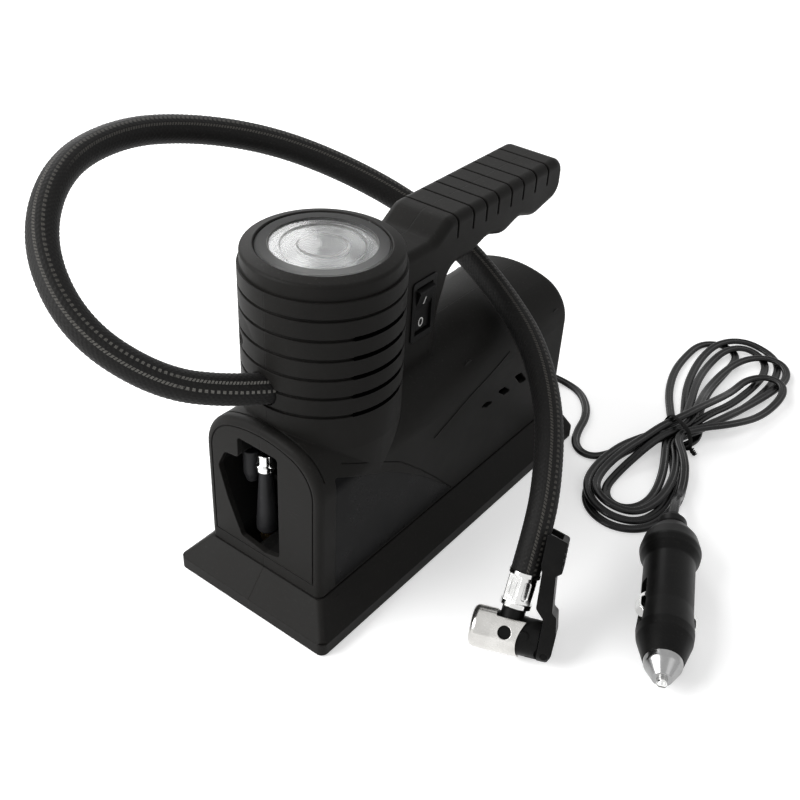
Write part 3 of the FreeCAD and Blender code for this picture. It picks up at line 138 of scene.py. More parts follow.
def rangeNode(tree, value, fromMin, fromMax, toMin=0.0, toMax=1.0):
    node = put(tree, "ShaderNodeMapRange", {"Value": value, "From Min": fromMin, "From Max": fromMax,
                                            "To Min": toMin, "To Max": toMax})
    return node.outputs["Result"]


def noiseNode(tree, vector, scale, detail, roughness=0.5):
    return put(tree, "ShaderNodeTexNoise", {"Vector": vector, "Scale": scale, "Detail": detail,
                                            "Roughness": roughness}).outputs[0]


def mixColour(tree, factor, first, second):
    node = put(tree, "ShaderNodeMix", {0: factor}, data_type="RGBA")
    for socket, value in ((node.inputs[6], first), (node.inputs[7], second)):
        if isinstance(value, bpy.types.NodeSocket):
            tree.links.new(value, socket)
        else:
            socket.default_value = (*value, 1.0)
    return node.outputs[2]


# Shared effects. Each group puts out values only.
# Moulded plastic skin: fine noise for the grain, broad noise for the uneven gloss and tone.
def buildMouldGrain():
    group, given, result = newGroup(
        "mouldGrain",
        [("Vector", "NodeSocketVector", None), ("Grain", "NodeSocketFloat", 1500.0),
         ("Cloud", "NodeSocketFloat", 55.0)],
        [("Height", "NodeSocketFloat"), ("Mottle", "NodeSocketFloat")])
    fine = noiseNode(group, given.outputs["Vector"], given.outputs["Grain"], 3.0, 0.6)
    broad = noiseNode(group, given.outputs["Vector"], given.outputs["Cloud"], 4.0, 0.55)
    group.links.new(fine, result.inputs["Height"])
    group.links.new(broad, result.inputs["Mottle"])
    return group


# Marks of use: thin stretched scratches, and pale specks on faces that look up, which stand for settled dust and also
# paint light onto the tops.
def buildHandling():
    group, given, result = newGroup(
        "handlingMarks",
        [("Vector", "NodeSocketVector", None), ("Density", "NodeSocketFloat", 240.0)],
        [("Scratch", "NodeSocketFloat"), ("DustAndTopLight", "NodeSocketFloat")])
    stretched = put(group, "ShaderNodeMapping", {"Vector": given.outputs["Vector"], "Rotation": (0.4, 0.9, 0.5),
                                                 "Scale": (1.0, 14.0, 9.0)})
    lines = noiseNode(group, stretched.outputs[0], given.outputs["Density"], 2.0)
    scratch = rangeNode(group, lines, 0.66, 0.72)
    speck = rangeNode(group, noiseNode(group, given.outputs["Vector"], 900.0, 2.0), 0.6, 0.75)
    geometry = put(group, "ShaderNodeNewGeometry")
    split = put(group, "ShaderNodeSeparateXYZ", {0: geometry.outputs["Normal"]})
    # Pale specks that grow on faces turned up: dust, and also painted light on the tops.
    dustAndTopLight = productNode(group, rangeNode(group, split.outputs["Z"], 0.35, 1.0), speck)
    group.links.new(scratch, result.inputs["Scratch"])
    group.links.new(dustAndTopLight, result.inputs["DustAndTopLight"])
    return group


mouldGrain = buildMouldGrain()
handlingMarks = buildHandling()


def objectVector(tree):
    return put(tree, "ShaderNodeTexCoord").outputs["Object"]


def placeGroup(tree, group, links):
    return put(tree, "ShaderNodeGroup", links, node_tree=group)


def grainNode(tree, vector, grain, cloud):
    return placeGroup(tree, mouldGrain, {"Vector": vector, "Grain": grain, "Cloud": cloud}).outputs


# Edges that look rounded by a radius, as a normal
def softEdgeNode(tree, radius):
    return put(tree, "ShaderNodeBevel", {"Radius": radius}, samples=6).outputs[0]


def bumpNode(tree, strength, depth, height, **others):
    links = {"Strength": strength, "Distance": depth, "Height": height, **others}
    return put(tree, "ShaderNodeBump", links).outputs[0]


def closeMaterial(tree, inputs):
    shader = put(tree, "ShaderNodeBsdfPrincipled", inputs)
    put(tree, "ShaderNodeOutputMaterial", {"Surface": shader.outputs[0]})


# Each surface point's vector from an upright axis, laid flat, and its length
def fromAxis(tree, vector, axis):
    away = put(tree, "ShaderNodeVectorMath", {0: vector, 1: axis}, operation="SUBTRACT").outputs[0]
    flat = put(tree, "ShaderNodeVectorMath", {0: away, 1: (1.0, 1.0, 0.0)}, operation="MULTIPLY").outputs[0]
    return flat, put(tree, "ShaderNodeVectorMath", {0: flat}, operation="LENGTH").outputs["Value"]


# Light path mask for the rays that are to see a white backdrop
def backdropRays(tree):
    path = put(tree, "ShaderNodeLightPath").outputs
    return largerNode(tree, path["Is Camera Ray"], largerNode(tree, path["Is Glossy Ray"], path["Is Transmission Ray"]))


# Moulded plastic: grain as bump, tone and gloss that drift, light scratches, and pale specks on faces that look up,
# which are settled dust and also painted light on the tops.
def plasticFinish(name, settings):
    material, tree = blankMaterial(name)
    vector = objectVector(tree)
    grain = grainNode(tree, vector, settings["grain"], settings["cloud"])
    marks = placeGroup(tree, handlingMarks, {"Vector": vector}).outputs
    tone = mixColour(tree, rangeNode(tree, grain["Mottle"], 0.3, 0.7), settings["dark"], settings["light"])
    worn = mixColour(tree, productNode(tree, marks["Scratch"], settings["scratch"]), tone, settings["mark"])
    # Mixes in the pale specks on up-facing faces: settled dust and painted light on the tops.
    dustyAndTopLit = mixColour(tree, productNode(tree, marks["DustAndTopLight"], settings["dustAndTopLight"]), worn, dustAndTopLightColour)
    rough = rangeNode(tree, grain["Mottle"], 0.3, 0.7, settings["rough"] - settings["drift"],
                      settings["rough"] + settings["drift"])
    bump = bumpNode(tree, settings["bump"], settings["depth"], grain["Height"],
                    Normal=softEdgeNode(tree, settings["edge"]))
    closeMaterial(tree, {"Base Color": dustyAndTopLit, "Roughness": rough, "Normal": bump, "IOR": 1.48,
                         "Specular IOR Level": settings["specular"]})
    return material


# Metal: brushed or polished streaks along an axis, smudges in the gloss, faint tint drift.
def metalFinish(name, settings):
    material, tree = blankMaterial(name)
    vector = objectVector(tree)
    turned = put(tree, "ShaderNodeMapping", {"Vector": vector, "Rotation": settings["turn"],
                                             "Scale": settings["stretch"]})
    streaks = noiseNode(tree, turned.outputs[0], settings["streak"], 3.0)
    smudge = grainNode(tree, vector, 700.0, 120.0)["Mottle"]
    tone = mixColour(tree, rangeNode(tree, smudge, 0.3, 0.7), settings["dark"], settings["light"])
    spread = rangeNode(tree, streaks, 0.3, 0.7, -settings["drift"], settings["drift"])
    smudged = rangeNode(tree, smudge, 0.35, 0.7, settings["rough"], settings["rough"] + settings["smudge"])
    bump = bumpNode(tree, settings["bump"], 0.00003, streaks, Normal=softEdgeNode(tree, settings["edge"]))
    closeMaterial(tree, {"Base Color": tone, "Roughness": mathNode(tree, "ADD", smudged, spread, clamp=True),
                         "Metallic": 1.0, "Normal": bump})
    return material


# Pale grey of the up-facing specks: dust, and painted light on the tops.
dustAndTopLightColour = (0.30, 0.29, 0.27)
plastics = {
    "bodyPlastic": {"dark": (0.0078, 0.0075, 0.0070), "light": (0.0112, 0.0107, 0.0100),
        "mark": (0.024, 0.023, 0.022), "scratch": 0.3, "dustAndTopLight": 0.03, "rough": 0.50, "drift": 0.06,
        "grain": 1500.0, "cloud": 45.0, "bump": 0.25, "depth": 0.00006, "edge": 0.0005, "specular": 0.07},
    "trayPlastic": {"dark": (0.0030, 0.0029, 0.0028), "light": (0.0048, 0.0046, 0.0044),
        "mark": (0.015, 0.015, 0.015), "scratch": 0.2, "dustAndTopLight": 0.03, "rough": 0.60, "drift": 0.05,
        "grain": 1500.0, "cloud": 60.0, "bump": 0.25, "depth": 0.00006, "edge": 0.0003, "specular": 0.06},
    "labelBlack": {"dark": (0.0015, 0.0015, 0.0017), "light": (0.0024, 0.0024, 0.0027),
        "mark": (0.02, 0.02, 0.02), "scratch": 0.4, "dustAndTopLight": 0.05, "rough": 0.30, "drift": 0.05, "grain": 700.0,
        "cloud": 90.0, "bump": 0.06, "depth": 0.00003, "edge": 0.0002, "specular": 0.05},
    "glossBlack": {"dark": (0.0024, 0.0024, 0.0024), "light": (0.0040, 0.0039, 0.0038),
        "mark": (0.02, 0.02, 0.02), "scratch": 0.3, "dustAndTopLight": 0.02, "rough": 0.40, "drift": 0.06, "grain": 1100.0,
        "cloud": 110.0, "bump": 0.12, "depth": 0.00004, "edge": 0.0004, "specular": 0.10},
    "cordCover": {"dark": (0.0024, 0.0024, 0.0026), "light": (0.0045, 0.0045, 0.0047),
        "mark": (0.02, 0.02, 0.02), "scratch": 0.2, "dustAndTopLight": 0.03, "rough": 0.29, "drift": 0.06, "grain": 900.0,
        "cloud": 150.0, "bump": 0.12, "depth": 0.00003, "edge": 0.0001, "specular": 0.26},
    "rubber": {"dark": (0.0045, 0.0045, 0.0045), "light": (0.0075, 0.0074, 0.0072), "mark": (0.03, 0.03, 0.028),
        "scratch": 0.2, "dustAndTopLight": 0.10, "rough": 0.68, "drift": 0.06, "grain": 1200.0, "cloud": 80.0, "bump": 0.3,
        "depth": 0.00006, "edge": 0.0003, "specular": 0.08},
    "nozzleGrey": {"dark": (0.013, 0.013, 0.014), "light": (0.019, 0.019, 0.020), "mark": (0.05, 0.05, 0.05),
        "scratch": 0.3, "dustAndTopLight": 0.04, "rough": 0.46, "drift": 0.05, "grain": 1300.0, "cloud": 130.0,
        "bump": 0.2, "depth": 0.00005, "edge": 0.0003, "specular": 0.15},
    "nylon": {"dark": (0.60, 0.58, 0.52), "light": (0.70, 0.68, 0.62), "mark": (0.75, 0.74, 0.70),
        "scratch": 0.2, "dustAndTopLight": 0.0, "rough": 0.40, "drift": 0.05, "grain": 900.0, "cloud": 90.0, "bump": 0.15,
        "depth": 0.00004, "edge": 0.0003, "specular": 0.4},
    "switchMark": {"dark": (0.62, 0.62, 0.61), "light": (0.74, 0.74, 0.72), "mark": (0.5, 0.5, 0.5),
        "scratch": 0.2, "dustAndTopLight": 0.0, "rough": 0.45, "drift": 0.05, "grain": 1800.0, "cloud": 400.0, "bump": 0.1,
        "depth": 0.00002, "edge": 0.0001, "specular": 0.4},
    "magnetGrey": {"dark": (0.05, 0.05, 0.052), "light": (0.09, 0.09, 0.092), "mark": (0.2, 0.2, 0.2),
        "scratch": 0.4, "dustAndTopLight": 0.0, "rough": 0.6, "drift": 0.08, "grain": 1600.0, "cloud": 70.0, "bump": 0.5,
        "depth": 0.0001, "edge": 0.0003, "specular": 0.3},
}
metals = {
    "brushedSteel": {"dark": (0.55, 0.54, 0.52), "light": (0.66, 0.65, 0.63), "turn": (0.0, 0.0, -0.384),
        "stretch": (3.0, 60.0, 60.0), "streak": 60.0, "rough": 0.20, "smudge": 0.10, "drift": 0.07,
        "bump": 0.12, "edge": 0.0003},
    "screwSteel": {"dark": (0.30, 0.30, 0.30), "light": (0.42, 0.42, 0.42), "turn": (0.0, 0.0, 0.0),
        "stretch": (20.0, 4.0, 20.0), "streak": 60.0, "rough": 0.30, "smudge": 0.10, "drift": 0.06, "bump": 0.1,
        "edge": 0.0002},
    "chrome": {"dark": (0.70, 0.70, 0.69), "light": (0.80, 0.80, 0.79), "turn": (0.0, 0.0, 0.0),
        "stretch": (10.0, 10.0, 10.0), "streak": 40.0, "rough": 0.09, "smudge": 0.08, "drift": 0.02,
        "bump": 0.04, "edge": 0.0003},
    "dullChrome": {"dark": (0.26, 0.26, 0.26), "light": (0.34, 0.34, 0.34), "turn": (0.0, 0.0, 0.0),
        "stretch": (10.0, 10.0, 10.0), "streak": 40.0, "rough": 0.18, "smudge": 0.08, "drift": 0.03,
        "bump": 0.04, "edge": 0.0003},
    "brass": {"dark": (0.52, 0.36, 0.15), "light": (0.68, 0.49, 0.22), "turn": (0.0, 0.0, 0.0),
        "stretch": (20.0, 20.0, 3.0), "streak": 50.0, "rough": 0.24, "smudge": 0.14, "drift": 0.05, "bump": 0.1,
        "edge": 0.0003},
    "castMetal": {"dark": (0.42, 0.42, 0.43), "light": (0.55, 0.55, 0.56), "turn": (0.0, 0.0, 0.0),
        "stretch": (8.0, 8.0, 8.0), "streak": 90.0, "rough": 0.42, "smudge": 0.12, "drift": 0.06, "bump": 0.4,
        "edge": 0.0003},
}
finishes = {name: plasticFinish(name, values) for name, values in plastics.items()}
finishes.update({name: metalFinish(name, values) for name, values in metals.items()})


# Frosted bulb: glass with an uneven haze in its gloss.
def frostedFinish(name, settings):
    material, tree = blankMaterial(name)
    mottle = grainNode(tree, objectVector(tree), 500.0, 140.0)["Mottle"]
    rough = rangeNode(tree, mottle, 0.35, 0.7, settings["rough"], settings["rough"] + settings["haze"])
    closeMaterial(tree, {"Base Color": settings["tint"], "Roughness": rough, "IOR": 1.49, "Transmission Weight": 1.0,
                         "Normal": bumpNode(tree, 0.05, 0.00004, mottle)})
    return material


lens = {
    "clear": (0.96, 0.97, 0.97),
    "rim": (0.085, 0.085, 0.083),
    "line": (0.95, 0.95, 0.94),
    "rimFrom": 0.0192,
    "lines": [(0.0190, 0.00035), (0.0150, 0.00022), (0.0090, 0.00028)],
    "haze": (0.10, 0.16),
    "rimRough": 0.80,
    "lineRough": 0.75,
}


# Stepped lens: clear in the middle, frosted grey outside rimFrom, and a pale line at each moulded step;
# each mask compares the distance from the lamp's axis with a radius.
def lensFinish(settings):
    material, tree = blankMaterial("clearLens")
    vector = objectVector(tree)
    distance = fromAxis(tree, vector, lampAxis)[1]
    rim = rangeNode(tree, distance, settings["rimFrom"] - 0.0001, settings["rimFrom"] + 0.0001)
    line = 0.0
    for radius, width in settings["lines"]:
        line = largerNode(tree, withinNode(tree, distance, radius, width), line)
    grain = grainNode(tree, vector, 1800.0, 160.0)
    colour = mixColour(tree, line, mixColour(tree, rim, settings["clear"], settings["rim"]), settings["line"])
    haze = rangeNode(tree, grain["Mottle"], 0.35, 0.7, *settings["haze"])
    rough = largerNode(tree, largerNode(tree, haze, productNode(tree, rim, settings["rimRough"])),
                       productNode(tree, line, settings["lineRough"]))
    closeMaterial(tree, {"Base Color": colour, "Roughness": rough, "IOR": 1.49, "Transmission Weight": 1.0,
                         "Normal": bumpNode(tree, 0.12, 0.00004, grain["Height"])})
    return material


finishes["clearLens"] = lensFinish(lens)

# Painted reflections: the ring tones are painted bright and dark bands of reflected light, and the gain paints a
# brighter crescent towards the front.
reflectorPaintedRings = {
    "paintedRingTones": [(0.0, 0.80), (0.0080, 0.76), (0.0092, 0.08), (0.0104, 0.16), (0.0122, 0.42), (0.0142, 0.38),
              (0.0150, 0.04), (0.0164, 0.20), (0.0185, 0.36), (0.0196, 0.05)],
    "reach": 0.020,
    "paintedCrescentToward": (0.45, -0.89, 0.0),
    "fade": 0.014,
    "bowl": (0.008, 0.011),
    "level": 0.70,
    "paintedCrescentGain": 1.6,
    "rough": 0.42,
}


# Lamp reflector: silver whose tone goes in rings with the distance from the axis, as painted bands of reflected light,
# and is painted brighter towards the front as a painted highlight, with a slight unevenness in the gloss.
def paintedReflectorFinish(settings):
    material, tree = blankMaterial("reflectorSilverPaintedLight")
    vector = objectVector(tree)
    flat, distance = fromAxis(tree, vector, lampAxis)
    ramp = put(tree, "ShaderNodeValToRGB", {"Fac": mathNode(tree, "DIVIDE", distance, settings["reach"])})
    stops = ramp.color_ramp.elements
    while len(stops) < len(settings["paintedRingTones"]):
        stops.new(0.5)
    for stop, (radius, tone) in zip(stops, settings["paintedRingTones"]):
        stop.position = radius / settings["reach"]
        stop.color = (tone, tone, tone, 1.0)
    # Painted highlight: brighter towards the front, outside the middle of the bowl.
    towards = put(tree, "ShaderNodeVectorMath", {0: flat, 1: settings["paintedCrescentToward"]}, operation="DOT_PRODUCT")
    paintedCrescent = rangeNode(tree, towards.outputs["Value"], -settings["fade"], settings["fade"])
    outside = rangeNode(tree, distance, *settings["bowl"])
    paintedCrescentGain = productNode(tree, productNode(tree, paintedCrescent, outside), settings["paintedCrescentGain"])
    level = mathNode(tree, "ADD", paintedCrescentGain, settings["level"])
    tone = put(tree, "ShaderNodeVectorMath", {0: ramp.outputs[0], "Scale": level}, operation="SCALE").outputs[0]
    uneven = grainNode(tree, vector, 700.0, 180.0)["Mottle"]
    rough = rangeNode(tree, uneven, 0.3, 0.7, settings["rough"], settings["rough"] + 0.1)
    closeMaterial(tree, {"Base Color": tone, "Roughness": rough, "Metallic": 1.0, "Normal": softEdgeNode(tree, 0.0003)})
    return material


finishes["reflectorSilverPaintedLight"] = paintedReflectorFinish(reflectorPaintedRings)
finishes["frostedBulb"] = frostedFinish("frostedBulb", {"tint": (0.98, 0.98, 0.98, 1.0), "rough": 0.25, "haze": 0.1})
print("finishes made:", len(finishes))

nodeFinish = {
    "bodyPlastic": ["housing_left", "housing_right", "light_bezel"],
    "trayPlastic": ["accessory_tray"],
    "labelBlack": ["label_plate"],
    "screwSteel": ["housing_screws", "armature", "crank_pin", "rod_pin", "motor_can", "tie_screws", "motor_screws",
                   "hose_stem"],
    "brushedSteel": ["chuck_sleeve"],
    "rubber": ["rubber_feet", "lens_seal", "piston_seal", "chuck_seal", "cord_grip"],
    "clearLens": ["lens"],
    "frostedBulb": ["lamp_bulb"],
    "reflectorSilverPaintedLight": ["reflector"],
    "chrome": ["nozzle_head", "ball_needle", "hose_ferrule", "plug_tip", "plug_side_contacts", "plug_spring"],
    "dullChrome": ["plug_nose_ring"],
    "brass": ["nozzle_tip", "shaft_bearing", "plug_fuse"],
    "glossBlack": ["lever_pin", "switch_frame", "rocker", "chuck_body", "chuck_lever", "plug_body", "motor_end_cap",
                   "lamp_holder"],
    "nozzleGrey": ["nozzle_body", "valve_adapter", "chuck_plunger"],
    "nylon": ["crank_gear", "pinion"],
    "castMetal": ["piston", "cylinder", "valve_plate", "cylinder_head", "pump_frame", "connecting_rod"],
    "magnetGrey": ["motor_magnets"],
    "cordCover": ["power_cord", "cord_hank", "cord_tail", "cord_tie", "air_hose"],
}
for finish, members in nodeFinish.items():
    for name in members:
        data = nodes[name].data
        data.materials.clear()
        data.materials.append(finishes[finish])
print("node finishes assigned")

# Air hose. The route is the hose's own, in mm about the tower's axis.
hose = {
    "route": [
        (0.0, -23.0, 97.5), (-5.21, -40.29, 101.96), (-20.2, -61.0, 109.6), (-46.2, -72.4, 125.4),
        (-73.7, -63.3, 144.1), (-93.1, -37.1, 157.3), (-100.3, -2.8, 158.2), (-96.0, 29.0, 152.2),
        (-81.9, 57.9, 143.1), (-62.5, 79.7, 131.1), (-37.1, 96.7, 116.4), (-9.9, 103.5, 101.3),
        (16.9, 96.8, 90.3), (43.4, 82.4, 82.1), (65.2, 61.5, 69.7), (78.7, 40.3, 54.9),
        (83.72, 27.87, 41.89), (85.38, 20.01, 29.22),
    ],
    "radius": 0.00575,
    "relief": 0.00022,
    "strands": 16,
    "period": 0.0020,
    "samplesAcross": 6,
    "samplesAlong": 4,
    "resolution": 40,
}


# Points along the NURBS spline of a route, read from the evaluated curve.
def routeLine(name, points, resolution):
    data = bpy.data.curves.new(name + "Route", "CURVE")
    data.dimensions = "3D"
    data.resolution_u = resolution
    spline = data.splines.new("NURBS")
    spline.points.add(len(points) - 1)
    flat = np.ones((len(points), 4), np.float32)
    flat[:, :3] = points
    spline.points.foreach_set("co", flat.ravel())
    spline.order_u = 3
    spline.use_endpoint_u = True
    holder = addObject(name + "Route", data)
    bpy.context.view_layer.update()
    mesh = bpy.data.meshes.new_from_object(holder)
    line = np.zeros(len(mesh.vertices) * 3)
    mesh.vertices.foreach_get("co", line)
    bpy.data.meshes.remove(mesh)
    bpy.data.objects.remove(holder)
    bpy.data.curves.remove(data)
    return line.reshape(-1, 3)


# The same line with evenly spaced points: linear interpolation over the travelled length.
def evenLine(line, count):
    travelled = np.concatenate([[0.0], np.cumsum(np.linalg.norm(np.diff(line, axis=0), axis=1))])
    wanted = np.linspace(0.0, travelled[-1], count)
    even = np.stack([np.interp(wanted, travelled, line[:, k]) for k in range(3)], axis=1)
    return even, wanted


def unitRows(vectors):
    return vectors / np.linalg.norm(vectors, axis=1)[:, None]


def tangents(line):
    return unitRows(np.gradient(line, axis=0))


# Side and up at each point of a line that lies near a plane: the side is square to the line and to the
# plane's normal, which is the last singular direction of its points.
def lineFrames(line):
    tangent = tangents(line)
    flattest = np.linalg.svd(line - line.mean(axis=0))[2][2]
    side = unitRows(np.cross(flattest, tangent))
    return side, np.cross(tangent, side)


# Closed tube from a (rows, columns) grid of points: each ring joins the next, a fan closes each end, and
# the UV map "pattern" holds the values along the rows and around the columns.
def gridPiece(name, points, along, around):
    rows, columns = points.shape[:2]
    r, c = np.meshgrid(np.arange(rows - 1), np.arange(columns), indexing="ij")
    following = (c + 1) % columns
    quads = np.stack([r * columns + c, r * columns + following, (r + 1) * columns + following, (r + 1) * columns + c],
                     axis=-1).reshape(-1, 4)
    vertices = np.vstack([points.reshape(-1, 3), points[0].mean(axis=0), points[-1].mean(axis=0)])
    first, last = len(vertices) - 2, len(vertices) - 1
    lastRow = (rows - 1) * columns
    faces = quads.tolist()
    faces += [[first, (k + 1) % columns, k] for k in range(columns)]
    faces += [[last, lastRow + k, lastRow + (k + 1) % columns] for k in range(columns)]
    mesh = bpy.data.meshes.new(name)
    mesh.from_pydata(vertices.tolist(), [], faces)
    corners = np.zeros((len(mesh.loops), 2), np.float32)
    corners[:quads.size] = np.stack([np.stack([along[r + up], around[c + on]], axis=-1)
                                     for up, on in ((0, 0), (0, 1), (1, 1), (1, 0))], axis=2).reshape(-1, 2)
    mesh.uv_layers.new(name="pattern").data.foreach_set("uv", corners.ravel())
    mesh.polygons.foreach_set("use_smooth", np.ones(len(mesh.polygons), bool))
    mesh.update()
    return addObject(name, mesh)


# Braided sheath: two families of strands wind opposite ways round the hose, and where they cross each lies
# over or under in turn, so the radius follows the product of two sines of the winding phases.
def buildHoseBraid(settings):
    line = routeLine("airHose", lateralPoints(settings["route"]), settings["resolution"])
    length = np.sum(np.linalg.norm(np.diff(line, axis=0), axis=1))
    periods = int(round(length / settings["period"]))
    rows = periods * settings["samplesAlong"] + 1
    columns = settings["strands"] * settings["samplesAcross"]
    even, travelled = evenLine(line, rows)
    side, up = lineFrames(even)
    angle = np.linspace(0.0, 2 * math.pi, columns, endpoint=False)
    phaseAlong = 2 * math.pi * np.arange(rows) / settings["samplesAlong"]
    phaseAcross = angle * settings["strands"]
    first = phaseAlong[:, None] + phaseAcross[None, :]
    second = phaseAlong[:, None] - phaseAcross[None, :]
    weave = 0.5 * (np.sin(first / 2) ** 2 + np.sin(second / 2) ** 2) + 0.35 * np.sin(first) * np.sin(second)
    radius = (settings["radius"] - settings["relief"] + settings["relief"] * weave)[:, :, None]
    cosine, sine = np.cos(angle)[None, :, None], np.sin(angle)[None, :, None]
    points = even[:, None, :] + radius * (cosine * side[:, None, :] + sine * up[:, None, :])
    around = np.arange(columns + 1) / columns * settings["strands"]
    return gridPiece("airHoseBraid", points, travelled / settings["period"], around), even, length


hosePiece, hoseLine, hoseLength = buildHoseBraid(hose)
print("air hose: length %.1f mm, faces %d" % (hoseLength / mm, len(hosePiece.data.polygons)))

# Each marker row has its place and half width in strands, and two fades along the hose, counted in braid
# periods: from one kind of stitch to the other, and from shown to hidden.
yarn = {
    "dark": (0.0038, 0.0036, 0.0035),
    "light": (0.0115, 0.0111, 0.0107),
    "fleck": (0.022, 0.021, 0.020),
    "marker": (0.080, 0.076, 0.069),
    "paintedLitMarker": (0.21, 0.205, 0.19),
    "rows": [
        {"place": 2.10, "width": 0.25, "chain": (17.0, 21.0, 0.0, 1.0), "shown": (69.0, 77.0, 1.0, 0.0)},
        {"place": 3.62, "width": 0.26, "chain": (17.0, 21.0, 1.0, 0.0), "shown": (400.0, 401.0, 1.0, 1.0)},
        {"place": 4.95, "width": 0.25, "chain": (69.0, 77.0, 0.0, 1.0), "shown": (69.0, 77.0, 0.0, 1.0)},
    ],
    "slant": 1.6,
    "chainGap": 0.34,
    "dotGap": 0.48,
    # Painted highlight: the marker colour fades to a paler one over this stretch near the tower.
    "paintedLitStretch": (6.0, 45.0, 1.0, 0.0),
}


# Black yarn: threads along each strand as bump, grey flecks, and paler marker rows that run along the hose, as a chain
# of short slanted stitches or as single stitches a period apart; near the tower the rows turn paler still, as a painted
# highlight.
def braidFinish(settings):
    material, tree = blankMaterial("hoseYarn")
    uv = put(tree, "ShaderNodeUVMap", uv_map="pattern")
    split = put(tree, "ShaderNodeSeparateXYZ", {0: uv.outputs[0]})
    along, across = split.outputs["X"], split.outputs["Y"]
    twisted = put(tree, "ShaderNodeMapping", {"Vector": uv.outputs[0], "Scale": (1.0, 5.0, 1.0),
                                              "Rotation": (0.0, 0.0, 0.785)})
    threads = noiseNode(tree, twisted.outputs[0], 2.4, 3.0)
    fleck = rangeNode(tree, noiseNode(tree, uv.outputs[0], 2.1, 2.0), 0.60, 0.74, 0.0, 0.7)
    base = mixColour(tree, rangeNode(tree, threads, 0.35, 0.7), settings["dark"], settings["light"])
    slanted = mathNode(tree, "ADD", productNode(tree, along, settings["slant"]), across)
    chain = mathNode(tree, "GREATER_THAN", mathNode(tree, "FRACT", slanted), settings["chainGap"])
    dotted = mathNode(tree, "GREATER_THAN", mathNode(tree, "FRACT", along), settings["dotGap"])
    stitched = 0.0
    for row in settings["rows"]:
        inRow = withinNode(tree, across, row["place"], row["width"])
        kind = put(tree, "ShaderNodeMix", {0: rangeNode(tree, along, *row["chain"]), 2: dotted, 3: chain},
                   data_type="FLOAT").outputs[0]
        shown = productNode(tree, inRow, rangeNode(tree, along, *row["shown"]))
        stitched = largerNode(tree, productNode(tree, shown, kind), stitched)
    worn = productNode(tree, stitched, rangeNode(tree, threads, 0.35, 0.65, 0.35, 0.95))
    # Painted highlight: marker rows paler near the tower.
    marker = mixColour(tree, rangeNode(tree, along, *settings["paintedLitStretch"]), settings["marker"], settings["paintedLitMarker"])
    colour = mixColour(tree, worn, mixColour(tree, fleck, base, settings["fleck"]), marker)
    closeMaterial(tree, {"Base Color": colour, "Normal": bumpNode(tree, 0.5, 0.00014, threads), "Roughness": 0.56,
                         "Specular IOR Level": 0.12, "Sheen Weight": 0.05, "Sheen Roughness": 0.4})
    return material


hosePiece.data.materials.append(braidFinish(yarn))
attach(hosePiece, "housing")
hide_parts("air_hose")

